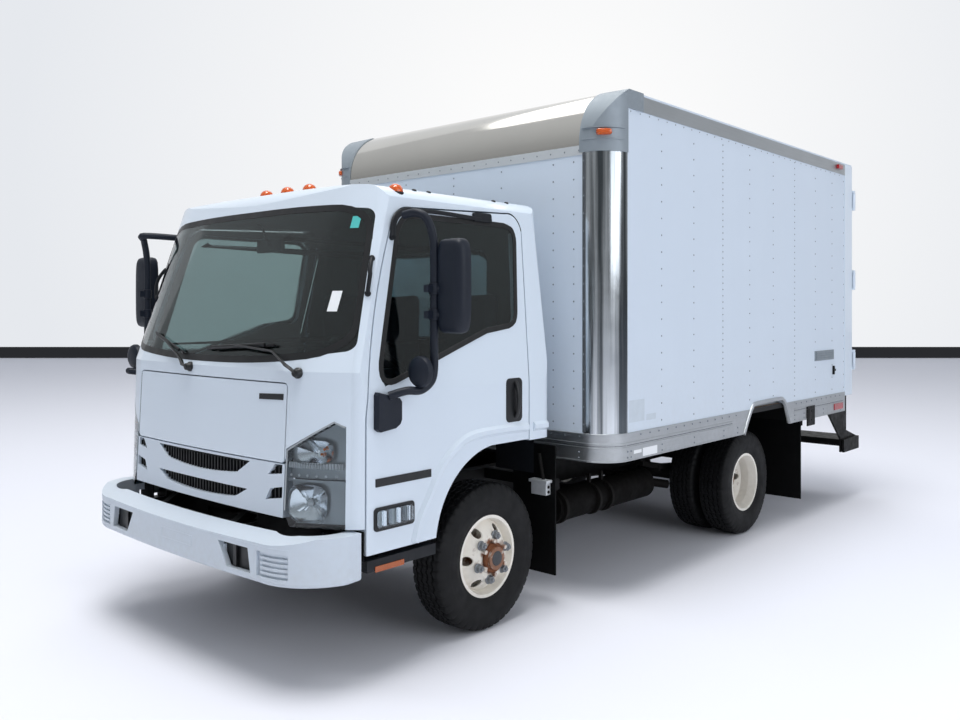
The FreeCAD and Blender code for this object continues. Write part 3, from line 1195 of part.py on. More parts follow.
def box_solid(out):
    """The cargo box's whole form above the floor, moved out by a distance."""
    plan = box_plan(out, v.vehicle_rear).extrude(Z_AXIS * (v.box_crown * 2))
    r = v.box_nose + out
    t = r * (1 - math.sqrt(1 / 2))
    front = v.box_front - out
    top = v.box_crown + out
    def side(y, z):
        return FreeCAD.Vector(0, y, z)
    along = outline(side(front, 0), [
        side(front, top - r), (side(front + t, top - t), side(front + r, top)),
        side(v.vehicle_rear, top), side(v.vehicle_rear, 0)])
    half = v.box_half + out + v.overrun
    def end(x, z):
        return FreeCAD.Vector(x, 0, z)
    fall = (v.box_crown - v.box_eave) * (half / v.box_half) ** 2
    across = outline(end(-half, 0), [
        end(-half, top - fall), (end(0, top), end(half, top - fall)), end(half, 0)])
    form = plan.common(prism_x(along, -half, half))
    return form.common(prism_y(across, front, v.vehicle_rear))


def wheel_cut(inner):
    """The room above the rear wheels that is cut out of the box's lower edge."""
    slope = v.wheel_cut_slope
    face = outline(yz(v.wheel_cut_front_behind, v.box_low - v.overrun), [
        yz(v.wheel_cut_front_behind, v.box_low),
        yz(v.wheel_cut_front_behind + slope, v.wheel_cut_top - v.wheel_cut_round / 2),
        yz(v.wheel_cut_front_behind + slope + v.wheel_cut_round, v.wheel_cut_top),
        yz(v.wheel_cut_rear_behind - slope - v.wheel_cut_round / 2, v.wheel_cut_top),
        yz(v.wheel_cut_rear_behind - slope / 2, v.wheel_cut_top - v.wheel_cut_round),
        yz(v.wheel_cut_rear_behind, v.box_low),
        yz(v.wheel_cut_rear_behind, v.box_low - v.overrun)])
    return [prism_x(face, inner, v.box_half + v.overrun),
            prism_x(face, -v.box_half - v.overrun, -inner)]


def cargo_box():
    """Walls, roof, bright corner posts and nose, corner caps and edge rails."""
    outer = box_solid(0)
    inner = box_solid(-v.box_wall)
    shell = outer.cut(inner)
    post = v.box_half - v.box_corner
    wide = (-v.box_half - v.overrun, v.box_half + v.overrun)
    near = v.box_front - v.overrun
    shaped("cargo_front", shell.common(room((-post, post), (near, v.post_rear),
                                            (v.box_floor, v.cap_low))))
    wells = wheel_cut(v.tyre_clear_inner)
    sides = []
    posts = []
    rails = []
    caps = []
    cap_shell = box_solid(v.cap_proud).cut(box_solid(-v.box_wall))
    cap_inner = v.box_half - v.cap_width
    for hand in (1, -1):
        def span(low, high):
            return tuple(sorted((hand * low, hand * high)))
        wall = room(span(v.box_half - v.box_wall, v.box_half), (v.post_rear, v.portal_front),
                    (v.box_floor, v.top_rail_low))
        for well in wells:
            wall = wall.cut(well)
        sides.append(wall)
        posts.append(shell.common(room(span(post, v.box_half), (near, v.post_rear),
                                       (v.box_floor, v.cap_low))))
        rails.append(room(span(v.box_half - v.portal_side + v.rail_sheet,
                               v.box_half + v.rail_proud),
                          (v.cap_rear, v.portal_front), (v.top_rail_low, v.top_rail_high)))
        caps.append(cap_shell.common(room(span(cap_inner, v.box_half + v.overrun),
                                          (near, v.cap_rear), (v.cap_low, v.box_crown * 2)))
                    .cut(room(span(v.box_half - v.box_wall, v.box_half + v.overrun),
                              (v.post_rear, v.cap_rear + v.overrun),
                              (v.cap_low, v.top_rail_low))))
    shaped("cargo_sides", Part.makeCompound(sides))
    shaped("corner_posts", Part.makeCompound(posts))
    shaped("top_rails", Part.makeCompound(rails))
    shaped("corner_caps", Part.makeCompound(caps))
    shaped("nose_cap", shell.common(room((-cap_inner, cap_inner), (near, v.cap_rear),
                                         (v.cap_low, v.box_crown * 2))))
    shaped("cargo_roof", shell.common(room(wide, (v.cap_rear, v.box_rear),
                                           (v.top_rail_high, v.box_crown * 2))))
    ring = box_plan(v.rail_proud, v.portal_front).cut(
        box_plan(v.rail_proud - v.rail_sheet, v.portal_front + v.overrun))
    skirt = ring.translated(Z_AXIS * v.box_low).extrude(Z_AXIS * (v.box_floor - v.box_low))
    for well in wells:
        skirt = skirt.cut(well)
    shaped("skirt_rail", skirt)
    board = box_plan(v.rail_proud - v.rail_sheet, v.portal_front)
    board = board.translated(Z_AXIS * (v.box_floor - v.floor_board))
    shaped("cargo_floor", board.extrude(Z_AXIS * v.floor_board))


def subframe():
    """Sills on the frame rails with joists across them, short ones over the wheels."""
    length = "portal_front - box_front - box_wall"
    sill = block("sill", ("frame_width / 2 - sill_width", "box_front + box_wall", "frame_top"),
                 ("sill_width", length, "box_low - frame_top"))
    parts = [sill, mirror("sill_twin", sill)]
    pitch = "((portal_front - box_front - 2 * box_corner) / (joists - 1))"
    count = int(v.joists)
    first = v.box_front + v.box_corner
    step = (v.portal_front - v.box_front - 2 * v.box_corner) / (count - 1)
    for n in range(count):
        y = first + step * n - v.front_axle
        over_wheel = v.wheel_cut_front_behind < y + v.joist_depth and y < v.wheel_cut_rear_behind
        half = "tyre_clear_inner" if over_wheel else "(box_half + rail_proud - rail_sheet)"
        parts.append(block("joist_%d" % n,
                           ("-" + half, "box_front + box_corner + %s * %d" % (pitch, n),
                            "box_low"),
                           ("2 * " + half, "joist_depth", "box_floor - floor_board - box_low")))
    return node("cargo_subframe", fuse("cargo_subframe_body", parts))


def rear_frame():
    """The white frame round the rear doorway, with the doors' hinge pins."""
    half = "(box_half + rail_proud)"
    frame_block = block("portal", ("-" + half, "portal_front", "portal_low"),
                        ("2 * " + half, "portal_depth", "top_rail_high - portal_low"))
    opening = block("doorway", ("-(box_half - portal_side)", "portal_front - overrun",
                                "portal_low + portal_sill"),
                    ("2 * (box_half - portal_side)", "portal_depth + 2 * overrun",
                     "top_rail_high - portal_low - portal_sill - portal_head"))
    parts = [cut("portal_open", frame_block, opening)]
    ear = "rear_hinge_ear"
    for n, share in enumerate(("hinge_low_share", "hinge_middle_share", "hinge_high_share")):
        z = "(portal_low + (top_rail_high - portal_low) * %s)" % share
        pin = rod("rear_pin_%d" % n, "z", ("rear_hinge_half", "rear_hinge_line", z + " - " + ear),
                  "rear_hinge_height + 2 * " + ear, "rear_hinge_radius")
        parts += [pin, mirror("rear_pin_%d_twin" % n, pin)]
        for end, start in (("low", z + " - " + ear), ("high", z + " + rear_hinge_height")):
            piece = block("rear_ear_%s_%d" % (end, n),
                          ("rear_hinge_half - 2 * " + ear, "box_rear", start),
                          ("2 * %s + rear_hinge_radius" % ear,
                           "rear_hinge_line - box_rear + rear_hinge_radius",
                           ear + " - run_gap"))
            if end == "high":
                bind(piece, "Placement.Base.z", start + " + run_gap")
            parts += [piece, mirror("rear_ear_%s_%d_twin" % (end, n), piece)]
    return node("rear_frame", fuse("rear_frame_body", parts))


def rear_doors():
    """Two full-height leaves on strap hinges, each with a lock bar."""
    bottom = "(portal_low + portal_sill + panel_gap)"
    top = "(top_rail_high - portal_head - panel_gap)"
    edge = "(box_half - portal_side - panel_gap)"
    leaf = block("rear_leaf", ("panel_gap / 2", "box_rear - rear_door_wall", bottom),
                 (edge + " - panel_gap / 2", "rear_door_wall", top + " - " + bottom))
    bar = rod("lock_bar", "z", ("lock_bar_half", "box_rear + lock_bar_radius / 2",
                                bottom + " + overrun"),
              "%s - %s - 2 * overrun" % (top, bottom), "lock_bar_radius")
    parts = [leaf, bar]
    for n, share in enumerate(("hinge_low_share", "hinge_middle_share", "hinge_high_share")):
        z = "(portal_low + (top_rail_high - portal_low) * %s)" % share
        parts.append(block("strap_%d" % n,
                           ("rear_hinge_half - rear_hinge_reach - strap_lap",
                            "rear_hinge_line - strap_wall", z),
                           ("rear_hinge_reach + strap_lap", "strap_wall",
                            "rear_hinge_height")))
        parts.append(block("strap_foot_%d" % n,
                           ("%s - strap_lap" % edge, "box_rear", z),
                           ("strap_lap", "rear_hinge_line - box_rear", "rear_hinge_height")))
        parts.append(rod("strap_eye_%d" % n, "z", ("rear_hinge_half", "rear_hinge_line", z),
                         "rear_hinge_height", "rear_hinge_radius + strap_wall / 2"))
    solid = fuse("rear_leaf_parts", parts)
    hole = rod("rear_pin_hole", "z", ("rear_hinge_half", "rear_hinge_line", "portal_low"),
               "top_rail_high", "rear_hinge_radius + run_gap")
    left = node("rear_door_left", cut("rear_door_left_body", solid, hole))
    node("rear_door_right", mirror("rear_door_right_body", left))


def rear_step():
    """The dark step behind the doors: a tread bar between two shaped side plates."""
    bar = block("step_bar", ("-step_half", "front_axle + step_front_behind", "step_low"),
                ("2 * step_half", "vehicle_rear - front_axle - step_front_behind",
                 "step_top - step_low"))
    hollow = block("step_hollow", ("-(step_half - step_gusset)",
                                   "front_axle + step_front_behind - overrun",
                                   "step_low - overrun"),
                   ("2 * (step_half - step_gusset)",
                    "vehicle_rear - front_axle - step_front_behind + overrun - step_gusset",
                    "step_top - step_low + overrun - step_plate"))
    plate = pad("step_side", "YZ", [
        ("front_axle + step_gusset_front_behind", "box_low"),
        ("front_axle + step_front_behind", "step_top"),
        ("front_axle + step_front_behind", "step_low"),
        ("vehicle_rear", "step_low"),
        ("vehicle_rear", "step_top"),
        ("box_rear", "step_gusset_flare"),
        ("box_rear", "portal_low"),
        ("portal_front", "portal_low"),
        ("portal_front", "box_low")],
        "step_gusset", "step_half - step_gusset - rail_sheet")
    post = block("step_post", ("frame_width / 2 - rail_flange",
                               "front_axle + step_front_behind", "step_low"),
                 ("rail_flange", "portal_depth", "step_top - step_low - step_plate / 2"))
    parts = [cut("step_open", bar, hollow), plate, mirror("step_side_twin", plate), post,
             mirror("step_post_twin", post)]
    return node("rear_step", fuse("rear_step_body", parts))


def mudflaps():
    """Rubber flaps behind each axle, hung from bars."""
    pieces = []
    for end, high, bar_top in (("front", "front_flap_high", "frame_top"),
                               ("rear", "rear_flap_high", "rear_flap_high")):
        line = "front_axle + %s_flap_behind" % end
        flap = block(end + "_flap", ("%s_flap_inner" % end, line, "%s_flap_low" % end),
                     ("%s_flap_outer - %s_flap_inner" % (end, end), "flap_wall",
                      "%s - %s_flap_low" % (high, end)))
        bar = block(end + "_flap_bar", ("frame_width / 2", line + " + flap_wall",
                                        bar_top + " - cross_depth"),
                    ("%s_flap_outer - frame_width / 2" % end, "cross_depth / 2",
                     "cross_depth"))
        group = fuse(end + "_flap_group", [flap, bar])
        pieces += [group, mirror(end + "_flap_twin", group)]
    group = doc.addObject("Part::Compound", "mudflaps_group")
    group.Links = pieces
    return node("mudflaps", group)


def mirrors(outer):
    """A mirror head on a bent tube, with a round spot mirror, on each door."""
    def at(x, ahead, z):
        return FreeCAD.Vector(x, v.front_axle - ahead, z)
    middle = v.mirror_low + v.mirror_height / 2
    foot = room((v.cab_half - v.cab_wall, v.cab_half + v.bracket_out),
                (v.front_axle - v.bracket_ahead - v.bracket_width,
                 v.front_axle - v.bracket_ahead + v.bracket_width),
                (v.bracket_low - v.bracket_width, v.bracket_low + v.bracket_width))
    for name, lead in (("mirror_left", 0), ("mirror_right", v.mirror_right_lead)):
        line = v.front_axle - v.mirror_ahead - lead
        solid = room((v.mirror_half - v.mirror_width / 2, v.mirror_half + v.mirror_width / 2),
                     (line - v.mirror_depth / 2, line + v.mirror_depth / 2),
                     (v.mirror_low, v.mirror_low + v.mirror_height))
        solid = solid.makeFillet(v.mirror_round, solid.Edges)
        tube_ahead = v.mirror_tube_ahead + lead
        tube = pipe([at(v.cab_roof_half, v.mirror_tube_ahead, v.mirror_arm_high),
                     at(v.mirror_tube_out, tube_ahead, v.mirror_arm_high),
                     at(v.mirror_tube_out, tube_ahead, v.mirror_arm_low),
                     at(v.cab_half + v.bracket_out / 2, v.bracket_ahead, v.bracket_low)],
                    v.mirror_tube, v.mirror_bend)
        hold = pipe([at(v.mirror_tube_out, tube_ahead, middle),
                     at(v.mirror_half, v.mirror_ahead + lead, middle)],
                    v.mirror_tube, v.mirror_bend)
        spot = Part.makeCylinder(v.spot_radius, v.mirror_round,
                                 at(v.mirror_tube_out, tube_ahead + v.mirror_round,
                                    v.spot_height), Y_AXIS)
        for piece in (tube, hold, spot, foot):
            solid = solid.fuse(piece)
        solid = solid.cut(outer).removeSplitter()
        shaped(name, solid.mirror(ORIGIN, X_AXIS) if lead else solid)


def cabin(inner):
    """Dashboard with its column, the seats and the steering wheel."""
    def at(ahead, z):
        return ("front_axle - %s" % ahead, z)
    dash = pad("dash", "YZ", [
        at("(firewall_ahead - firewall_wall)", "dash_low"),
        at("(firewall_ahead - firewall_wall)", "dash_top - cab_floor_sheet"),
        at("(firewall_ahead - 2 * firewall_wall)", "dash_top"),
        at("(dash_rear_ahead + riser_lean)", "dash_top"),
        at("dash_rear_ahead", "dash_lip_height"),
        at("(dash_rear_ahead + riser_lean)", "dash_low + riser_lean"),
        at("(dash_rear_ahead + 2 * riser_lean)", "dash_low")],
        "2 * dash_half", "-dash_half")
    lean = math.radians(v.steer_lean)
    axis = FreeCAD.Vector(0, math.sin(lean), math.cos(lean))
    centre = FreeCAD.Vector(v.steer_half, v.front_axle - v.steer_ahead, v.steer_height)
    top = centre - axis * (v.steer_drop + v.seat_gap)
    doc.recompute()
    column = Part.makeCylinder(v.column_radius, v.column_length, top, axis * -1)
    shaped("dashboard", dash.Shape.fuse(column).common(inner).removeSplitter())
    ring = Part.makeTorus(v.steer_ring, v.steer_grip, centre, axis)
    hub = Part.makeCylinder(v.column_radius * 2, v.steer_drop, centre - axis * v.steer_drop,
                            axis)
    spokes = []
    for n in range(int(v.steer_spokes)):
        turn = math.radians(FULL_TURN * (n + 1 / 4) / v.steer_spokes)
        across = FreeCAD.Vector(math.cos(turn), 0, 0)
        along = FreeCAD.Vector(0, math.cos(lean), -math.sin(lean)) * math.sin(turn)
        start = centre - axis * (v.steer_drop / 2)
        end = centre + (across + along) * v.steer_ring
        run = end.sub(start)
        spokes.append(Part.makeCylinder(v.steer_grip * 2 / 3, run.Length, start, run))
    shaped("steering_wheel", ring.fuse([hub] + spokes).removeSplitter())
    seats = []
    for n, (middle, width) in enumerate((("seat_half", "seat_width"),
                                         ("-bench_half", "bench_width"))):
        left = "%s - %s / 2" % (middle, width)
        cushion = block("cushion_%d" % n, (left, "front_axle - seat_front_ahead",
                                           "riser_floor"),
                        (width, "seat_depth", "seat_top - riser_floor"))
        back = block("seat_back_%d" % n,
                     (left, "front_axle - seat_front_ahead + seat_depth", "riser_floor"),
                     (width, "seat_back_wall", "seat_back_top - riser_floor"))
        seats.append(fuse("seat_%d" % n, [
            rounded("cushion_round_%d" % n, cushion, v.seat_round,
                    lambda edge: edge.BoundBox.ZMin > v.seat_top - v.seat_round),
            rounded("back_round_%d" % n, back, v.seat_round,
                    lambda edge: edge.BoundBox.ZMin > v.seat_back_top - v.seat_round)]))
    group = doc.addObject("Part::Compound", "seats_group")
    group.Links = seats
    node("seats", group)


def small_pieces(outer):
    """Roof lamps, cab steps and the box's marker lamps."""
    domes = []
    for share in (0, 1, -1, v.roof_lamp_outer / v.roof_lamp_pitch,
                  -v.roof_lamp_outer / v.roof_lamp_pitch):
        x = v.roof_lamp_pitch * share
        y = v.front_axle - v.roof_lamp_ahead
        under = outer.common(Part.makeLine(FreeCAD.Vector(x, y, v.glass_base),
                                           FreeCAD.Vector(x, y, v.cab_height + v.overrun)))
        crown = under.BoundBox.ZMax + v.roof_lamp_radius / 4
        dome = Part.makeSphere(v.roof_lamp_radius, FreeCAD.Vector(x, y, crown))
        base = Part.makeCylinder(v.roof_lamp_radius, v.roof_lamp_radius,
                                 FreeCAD.Vector(x, y, crown - v.roof_lamp_radius))
        domes.append(dome.fuse(base).cut(outer).removeSplitter())
    shaped("roof_lamps", Part.makeCompound(domes))
    tread = block("cab_step_board", ("cab_half - cab_step_width",
                                     "front_axle - cab_step_front_ahead", "cab_step_low"),
                  ("cab_step_width", "cab_step_front_ahead - cab_step_rear_ahead",
                   "cab_step_high - cab_step_low"))
    arm = block("cab_step_arm", ("frame_width / 2", "front_axle - cab_step_arm_ahead",
                                 "cab_step_low"),
                ("cab_half - cab_step_width - frame_width / 2", "cross_depth",
                 "cab_step_high - cab_step_low"))
    node("cab_steps", both("cab_steps_pair", fuse("cab_step", [tread, arm])))
    lamps = []
    for hand in (1, -1):
        for y in (v.cap_rear + v.overrun, v.portal_front - v.overrun - v.box_lamp_long):
            x = sorted((hand * (v.box_half + v.rail_proud),
                        hand * (v.box_half + v.rail_proud + v.box_lamp_out)))
            lamps.append(room(x, (y, y + v.box_lamp_long),
                              (v.top_rail_low + v.overrun,
                               v.top_rail_low + v.overrun + v.box_lamp_high)))
        x = sorted((hand * (v.box_half - v.portal_side / 4), hand * (v.box_half
                                                                     - v.portal_side * 3 / 4)))
        lamps.append(room(x, (v.box_rear, v.box_rear + v.lamp_out_rear),
                          (v.tail_lamp_low, v.tail_lamp_high)))
    shaped("marker_lamps", Part.makeCompound(lamps))


def check(thing):
    """Stops the script at an object that failed or came out empty."""
    if "Invalid" in thing.State or "Error" in thing.State:
        raise RuntimeError("%s failed: %s" % (thing.Name, thing.State))


def main():
    """Builds every sub-part and writes each one to its own file."""
    outer, inner = cab()
    wheel_liners(inner)
    frame()
    springs()
    front_axle()
    knuckle()
    tie_rod()
    rear_axle()
    wheels()
    drive_line()
    exhaust()
    front_bumper()
    cargo_box()
    subframe()
    rear_frame()
    rear_doors()
    rear_step()
    mudflaps()
    mirrors(outer)
    cabin(inner)
    small_pieces(outer)
    doc.recompute()
    for thing in doc.Objects:
        check(thing)
    os.makedirs("parts", exist_ok=True)
    for thing in NODES:
        shape = thing.Shape
        if shape.isNull() or not shape.isValid():
            raise RuntimeError("%s has a bad shape" % thing.Label)
        shape.exportStep("parts/%s.step" % thing.Label)
        box = shape.BoundBox
        print(thing.Label, len(shape.Solids), "solids",
              "X %.0f..%.0f Y %.0f..%.0f Z %.0f..%.0f" % (box.XMin, box.XMax, box.YMin, box.YMax,
                                                       box.ZMin, box.ZMax))


main()
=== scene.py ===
# %% [markdown]
# # A light cab-over box truck
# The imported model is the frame: every panel, axle and door is already a solid of the right
# size, in metres, with +X to the truck's left, +Y to the rear and +Z up. This script gives each
# solid its finish and adds the small things that a drawing of solids leaves out: seals, rivets,
# lamps, treads, wipers and handles. Each added piece rides on the body that carries it, so it
# moves with its door, wheel or cab.

# %% Load the frame
import math

import bmesh
import bpy
from mathutils import Matrix, Vector
from mathutils.bvhtree import BVHTree


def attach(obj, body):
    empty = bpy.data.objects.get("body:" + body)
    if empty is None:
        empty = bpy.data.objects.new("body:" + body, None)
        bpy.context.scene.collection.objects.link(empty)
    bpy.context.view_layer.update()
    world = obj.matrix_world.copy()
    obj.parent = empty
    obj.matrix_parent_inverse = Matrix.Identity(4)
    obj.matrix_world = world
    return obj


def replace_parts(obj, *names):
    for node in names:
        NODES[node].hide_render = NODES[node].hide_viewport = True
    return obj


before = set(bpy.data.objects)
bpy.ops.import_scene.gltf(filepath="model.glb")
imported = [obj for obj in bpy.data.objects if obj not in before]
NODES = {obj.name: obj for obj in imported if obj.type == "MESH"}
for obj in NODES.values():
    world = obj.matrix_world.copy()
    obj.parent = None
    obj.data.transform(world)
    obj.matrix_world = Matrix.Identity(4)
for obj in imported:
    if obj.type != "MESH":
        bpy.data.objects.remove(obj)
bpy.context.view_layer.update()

# %% [markdown]
# Drawings of a truck measure along its length from the front axle, and in millimetres. One
# helper turns such a place into a point of the scene, so every number below reads as it would
# on a drawing. Most parts come in pairs, so each side has a name, a sign for its X and the
# direction that leads inwards from it.

# %% Places and sizes
MM = 0.001
FRONT_AXLE_Y = -1.713
REAR_AXLE_Y = 1.056
AXLE_Z = 381
WHEELBASE = 2769
FAR_AHEAD = -3000
SIDES = (("left", 1, Vector((-1, 0, 0))), ("right", -1, Vector((1, 0, 0))))
WHEELS = [(end, axle, side, hand) for end, axle in (("front", 0), ("rear", WHEELBASE))
          for side, hand, _ in SIDES]


def at(x, behind, z):
    """A point from millimetres: left of the middle, behind the front axle, above the ground."""
    return Vector((x * MM, FRONT_AXLE_Y + behind * MM, z * MM))


print("front axle at", at(0, 0, AXLE_Z))

# %% [markdown]
# Colours are written as sRGB hex, the way a colour picker shows them. Blender shades in linear
# light, so one function turns the hex value into linear numbers.

# %% Colour helper


def linear(hex_colour):
    """An sRGB hex colour as linear red, green, blue and alpha."""
    parts = [int(hex_colour[i:i + 2], 16) / 255 for i in (1, 3, 5)]
    return [p / 12.92 if p <= 0.04045 else ((p + 0.055) / 1.055) ** 2.4 for p in parts] + [1.0]


print("cool white paint is", [round(c, 3) for c in linear("#E4E9EE")])

# %% [markdown]
# A material is a small graph of nodes. One function adds a node, sets its values and links its
# inputs, so each finish below can be read as a list of what is plugged into what.
# Every finish here shares the same start: a Principled shader whose colour drifts a little over
# the surface, whose gloss varies with handling and dust, and whose fine relief comes from a
# noise of a real size in millimetres.

# %% Node helper


def node(tree, kind, settings=None, **inputs):
    """Adds a node, sets its properties and its inputs, and links inputs that are sockets."""
    new = tree.nodes.new(kind)
    for key, value in (settings or {}).items():
        setattr(new, key, value)
    for key, value in inputs.items():
        name = key.replace("_", " ")
        socket = new.inputs[int(key[1:])] if key[1:].isdigit() else new.inputs[name]
        if isinstance(value, bpy.types.NodeSocket):
            tree.links.new(value, socket)
        else:
            socket.default_value = value
    return new


def blank_finish(name):
    """A material without nodes, and its node tree."""
    made = bpy.data.materials.new(name)
    made.use_nodes = True
    made.node_tree.nodes.clear()
    return made, made.node_tree


def shader_of(made):
    """The Principled shader of a finish."""
    return next(n for n in made.node_tree.nodes if n.type == "BSDF_PRINCIPLED")


DUST_PATCH_MM = 30
DRY_DUST_ROUGHNESS = 0.9


def finish_of(name, colour, rough, metal=0.0, drift=0.06, drift_mm=400, dull=0.08,
              dull_mm=60, relief=0.0, relief_mm=1.5, stretch=(1, 1, 1), dust=None,
              dust_low_mm=0, dust_high_mm=900, dust_most=0.6, coat=0.0, ior=1.5):
    """A finish with drifting colour, varying gloss, fine relief and dust near the ground."""
    made, tree = blank_finish(name)
    place = node(tree, "ShaderNodeTexCoord").outputs["Object"]
    slow = node(tree, "ShaderNodeTexNoise", Vector=place, Scale=1 / (drift_mm * MM), Detail=4.0)
    base = linear(colour)
    light = [min(1.0, c * (1 + drift)) for c in base[:3]] + [1.0]
    dark = [c * (1 - drift) for c in base[:3]] + [1.0]
    tint = node(tree, "ShaderNodeMix", {"data_type": "RGBA"}, _0=slow.outputs["Fac"],
                _6=dark, _7=light).outputs[2]
    spread = node(tree, "ShaderNodeMapping", Vector=place, Scale=stretch).outputs["Vector"]
    quick = node(tree, "ShaderNodeTexNoise", Vector=spread, Scale=1 / (dull_mm * MM), Detail=5.0)
    gloss = node(tree, "ShaderNodeMapRange", Value=quick.outputs["Fac"], From_Min=0.3,
                 From_Max=0.7, To_Min=max(0.02, rough - dull), To_Max=min(1.0, rough + dull))
    roughness = gloss.outputs["Result"]
    if dust:
        height = node(tree, "ShaderNodeSeparateXYZ", Vector=place).outputs["Z"]
        low = node(tree, "ShaderNodeMapRange", Value=height, From_Min=dust_low_mm * MM,
                   From_Max=dust_high_mm * MM, To_Min=dust_most, To_Max=0.0).outputs["Result"]
        grit = node(tree, "ShaderNodeTexNoise", Vector=place, Scale=1 / (DUST_PATCH_MM * MM),
                    Detail=6.0)
        patchy = node(tree, "ShaderNodeMapRange", Value=grit.outputs["Fac"], From_Min=0.35,
                      From_Max=0.7, To_Min=0.4, To_Max=1.0).outputs["Result"]
        amount = node(tree, "ShaderNodeMath", {"operation": "MULTIPLY"}, _0=low, _1=patchy)
        tint = node(tree, "ShaderNodeMix", {"data_type": "RGBA"}, _0=amount.outputs[0],
                    _6=tint, _7=linear(dust)).outputs[2]
        roughness = node(tree, "ShaderNodeMix", {"data_type": "FLOAT"}, _0=amount.outputs[0],
                         _2=roughness, _3=DRY_DUST_ROUGHNESS).outputs[0]
    shader = node(tree, "ShaderNodeBsdfPrincipled", Base_Color=tint, Roughness=roughness,
                  Metallic=metal)
    if not metal:
        shader.inputs["IOR"].default_value = ior
    shader.inputs["Coat Weight"].default_value = coat
    shader.inputs["Coat Roughness"].default_value = 0.06
    if relief:
        grain = node(tree, "ShaderNodeTexNoise", Vector=spread, Scale=1 / (relief_mm * MM),
                     Detail=3.0)
        bump = node(tree, "ShaderNodeBump", Height=grain.outputs["Fac"], Distance=relief * MM,
                    Strength=0.5)
        tree.links.new(bump.outputs["Normal"], shader.inputs["Normal"])
    node(tree, "ShaderNodeOutputMaterial", Surface=shader.outputs["BSDF"])
    return made


print("node helper ready")

# %% [markdown]
# The cab is sheet steel under a baked white enamel: smooth, glossy and even, so its colour and
# gloss don't vary, and only its lower edge takes a little dust. The box is riveted sheet
# aluminium that was painted before it was cut, so it is flatter and hazier, with long soft
# streaks where rain has run down. The bumper and the grille are moulded in white plastic.

# %% Painted finishes
enamel = finish_of("baked_white_enamel", "#D2DDE8", 0.28, drift=0.0, dull=0.0, coat=0.35,
                   dust="#B4B1A8", dust_low_mm=350, dust_high_mm=760, dust_most=0.06)
panel_paint = finish_of("prepainted_sheet", "#CFDAE6", 0.42, drift=0.02, dull=0.05,
                        dull_mm=160, stretch=(1, 1, 0.12), relief=0.08, relief_mm=60,
                        dust="#B5B2AA", dust_low_mm=700, dust_high_mm=1500, dust_most=0.15)
moulded_white = finish_of("moulded_white_plastic", "#C8D2DD", 0.36, drift=0.015, dull=0.04,
                          dull_mm=120, relief=0.04, relief_mm=3, dust="#A9A59B",
                          dust_low_mm=400, dust_high_mm=760, dust_most=0.28)
chassis_black = finish_of("chassis_black_paint", "#0A0B0C", 0.55, drift=0.25, dull=0.12,
                          relief=0.3, relief_mm=4, dust="#2B2825", dust_low_mm=150,
                          dust_high_mm=950, dust_most=0.2, ior=1.3)
print("painted finishes ready")

# %% [markdown]
# Bare metals differ by how they were worked. The nose and corner posts are rolled stainless
# steel polished like a mirror, the edge rails are extruded aluminium with lines along the
# extrusion, the corner caps are cast aluminium left grey, and axles and springs are black
# iron castings with a dry film of road dust. The corner posts carry a painted reflection: tall
# dark and light streaks are mixed into their colour, so their tone changes sideways but hardly
# at all along their height.

# %% Metals
mirror_steel = finish_of("polished_stainless_painted_reflection", "#C4C9CC", 0.17, metal=1.0, drift=0.12,
                         drift_mm=240, dull=0.04, dull_mm=120, relief=1.4, relief_mm=300)
nose_steel = finish_of("polished_nose_sheet", "#D6D3CC", 0.1, metal=1.0, drift=0.08,
                       drift_mm=500, dull=0.02, dull_mm=300, stretch=(0.12, 1, 1), relief=2.2,
                       relief_mm=260)
extruded = finish_of("extruded_aluminium", "#B9BDC0", 0.38, metal=1.0, drift=0.1, dull=0.1,
                     dull_mm=14, stretch=(1, 0.05, 3), relief=0.05, relief_mm=2.5,
                     dust="#8C8880", dust_low_mm=700, dust_high_mm=1100, dust_most=0.25)
dull_strip = finish_of("dull_edge_strip", "#C6CACC", 0.5, metal=0.3, drift=0.08, dull=0.1)
cast_grey = finish_of("cast_aluminium", "#8E979E", 0.5, metal=0.35, drift=0.08, dull=0.1,
                      relief=0.12, relief_mm=2.2)
black_iron = finish_of("black_iron", "#100F0E", 0.75, drift=0.3, dull=0.12, relief=0.6,
                       relief_mm=3, dust="#332F2B", dust_low_mm=100, dust_high_mm=900,
                       dust_most=0.3, ior=1.3)
hot_steel = finish_of("heat_stained_steel", "#090706", 0.72, drift=0.35, drift_mm=90, dull=0.12,
                      relief=0.4, relief_mm=3, ior=1.25)
# Painted reflection on the corner posts: tall noise streaks mix a dark and a light grey into their
# colour.
PAINTED_REFLECTION_STREAK_MM = 45
tree = mirror_steel.node_tree
place = node(tree, "ShaderNodeTexCoord").outputs["Object"]
tall = node(tree, "ShaderNodeMapping", Vector=place, Scale=(1, 1, 0.02)).outputs["Vector"]
painted_reflection_streak = node(tree, "ShaderNodeTexNoise", Vector=tall, Scale=1 / (PAINTED_REFLECTION_STREAK_MM * MM), Detail=3.0)
band = node(tree, "ShaderNodeMapRange", Value=painted_reflection_streak.outputs["Fac"], From_Min=0.38, From_Max=0.62)
shade = node(tree, "ShaderNodeMix", {"data_type": "RGBA"}, _0=band.outputs["Result"],
             _6=linear("#5A6064"), _7=linear("#D8DDE0")).outputs[2]
tree.links.new(shade, shader_of(mirror_steel).inputs["Base Color"])
print("metals ready")
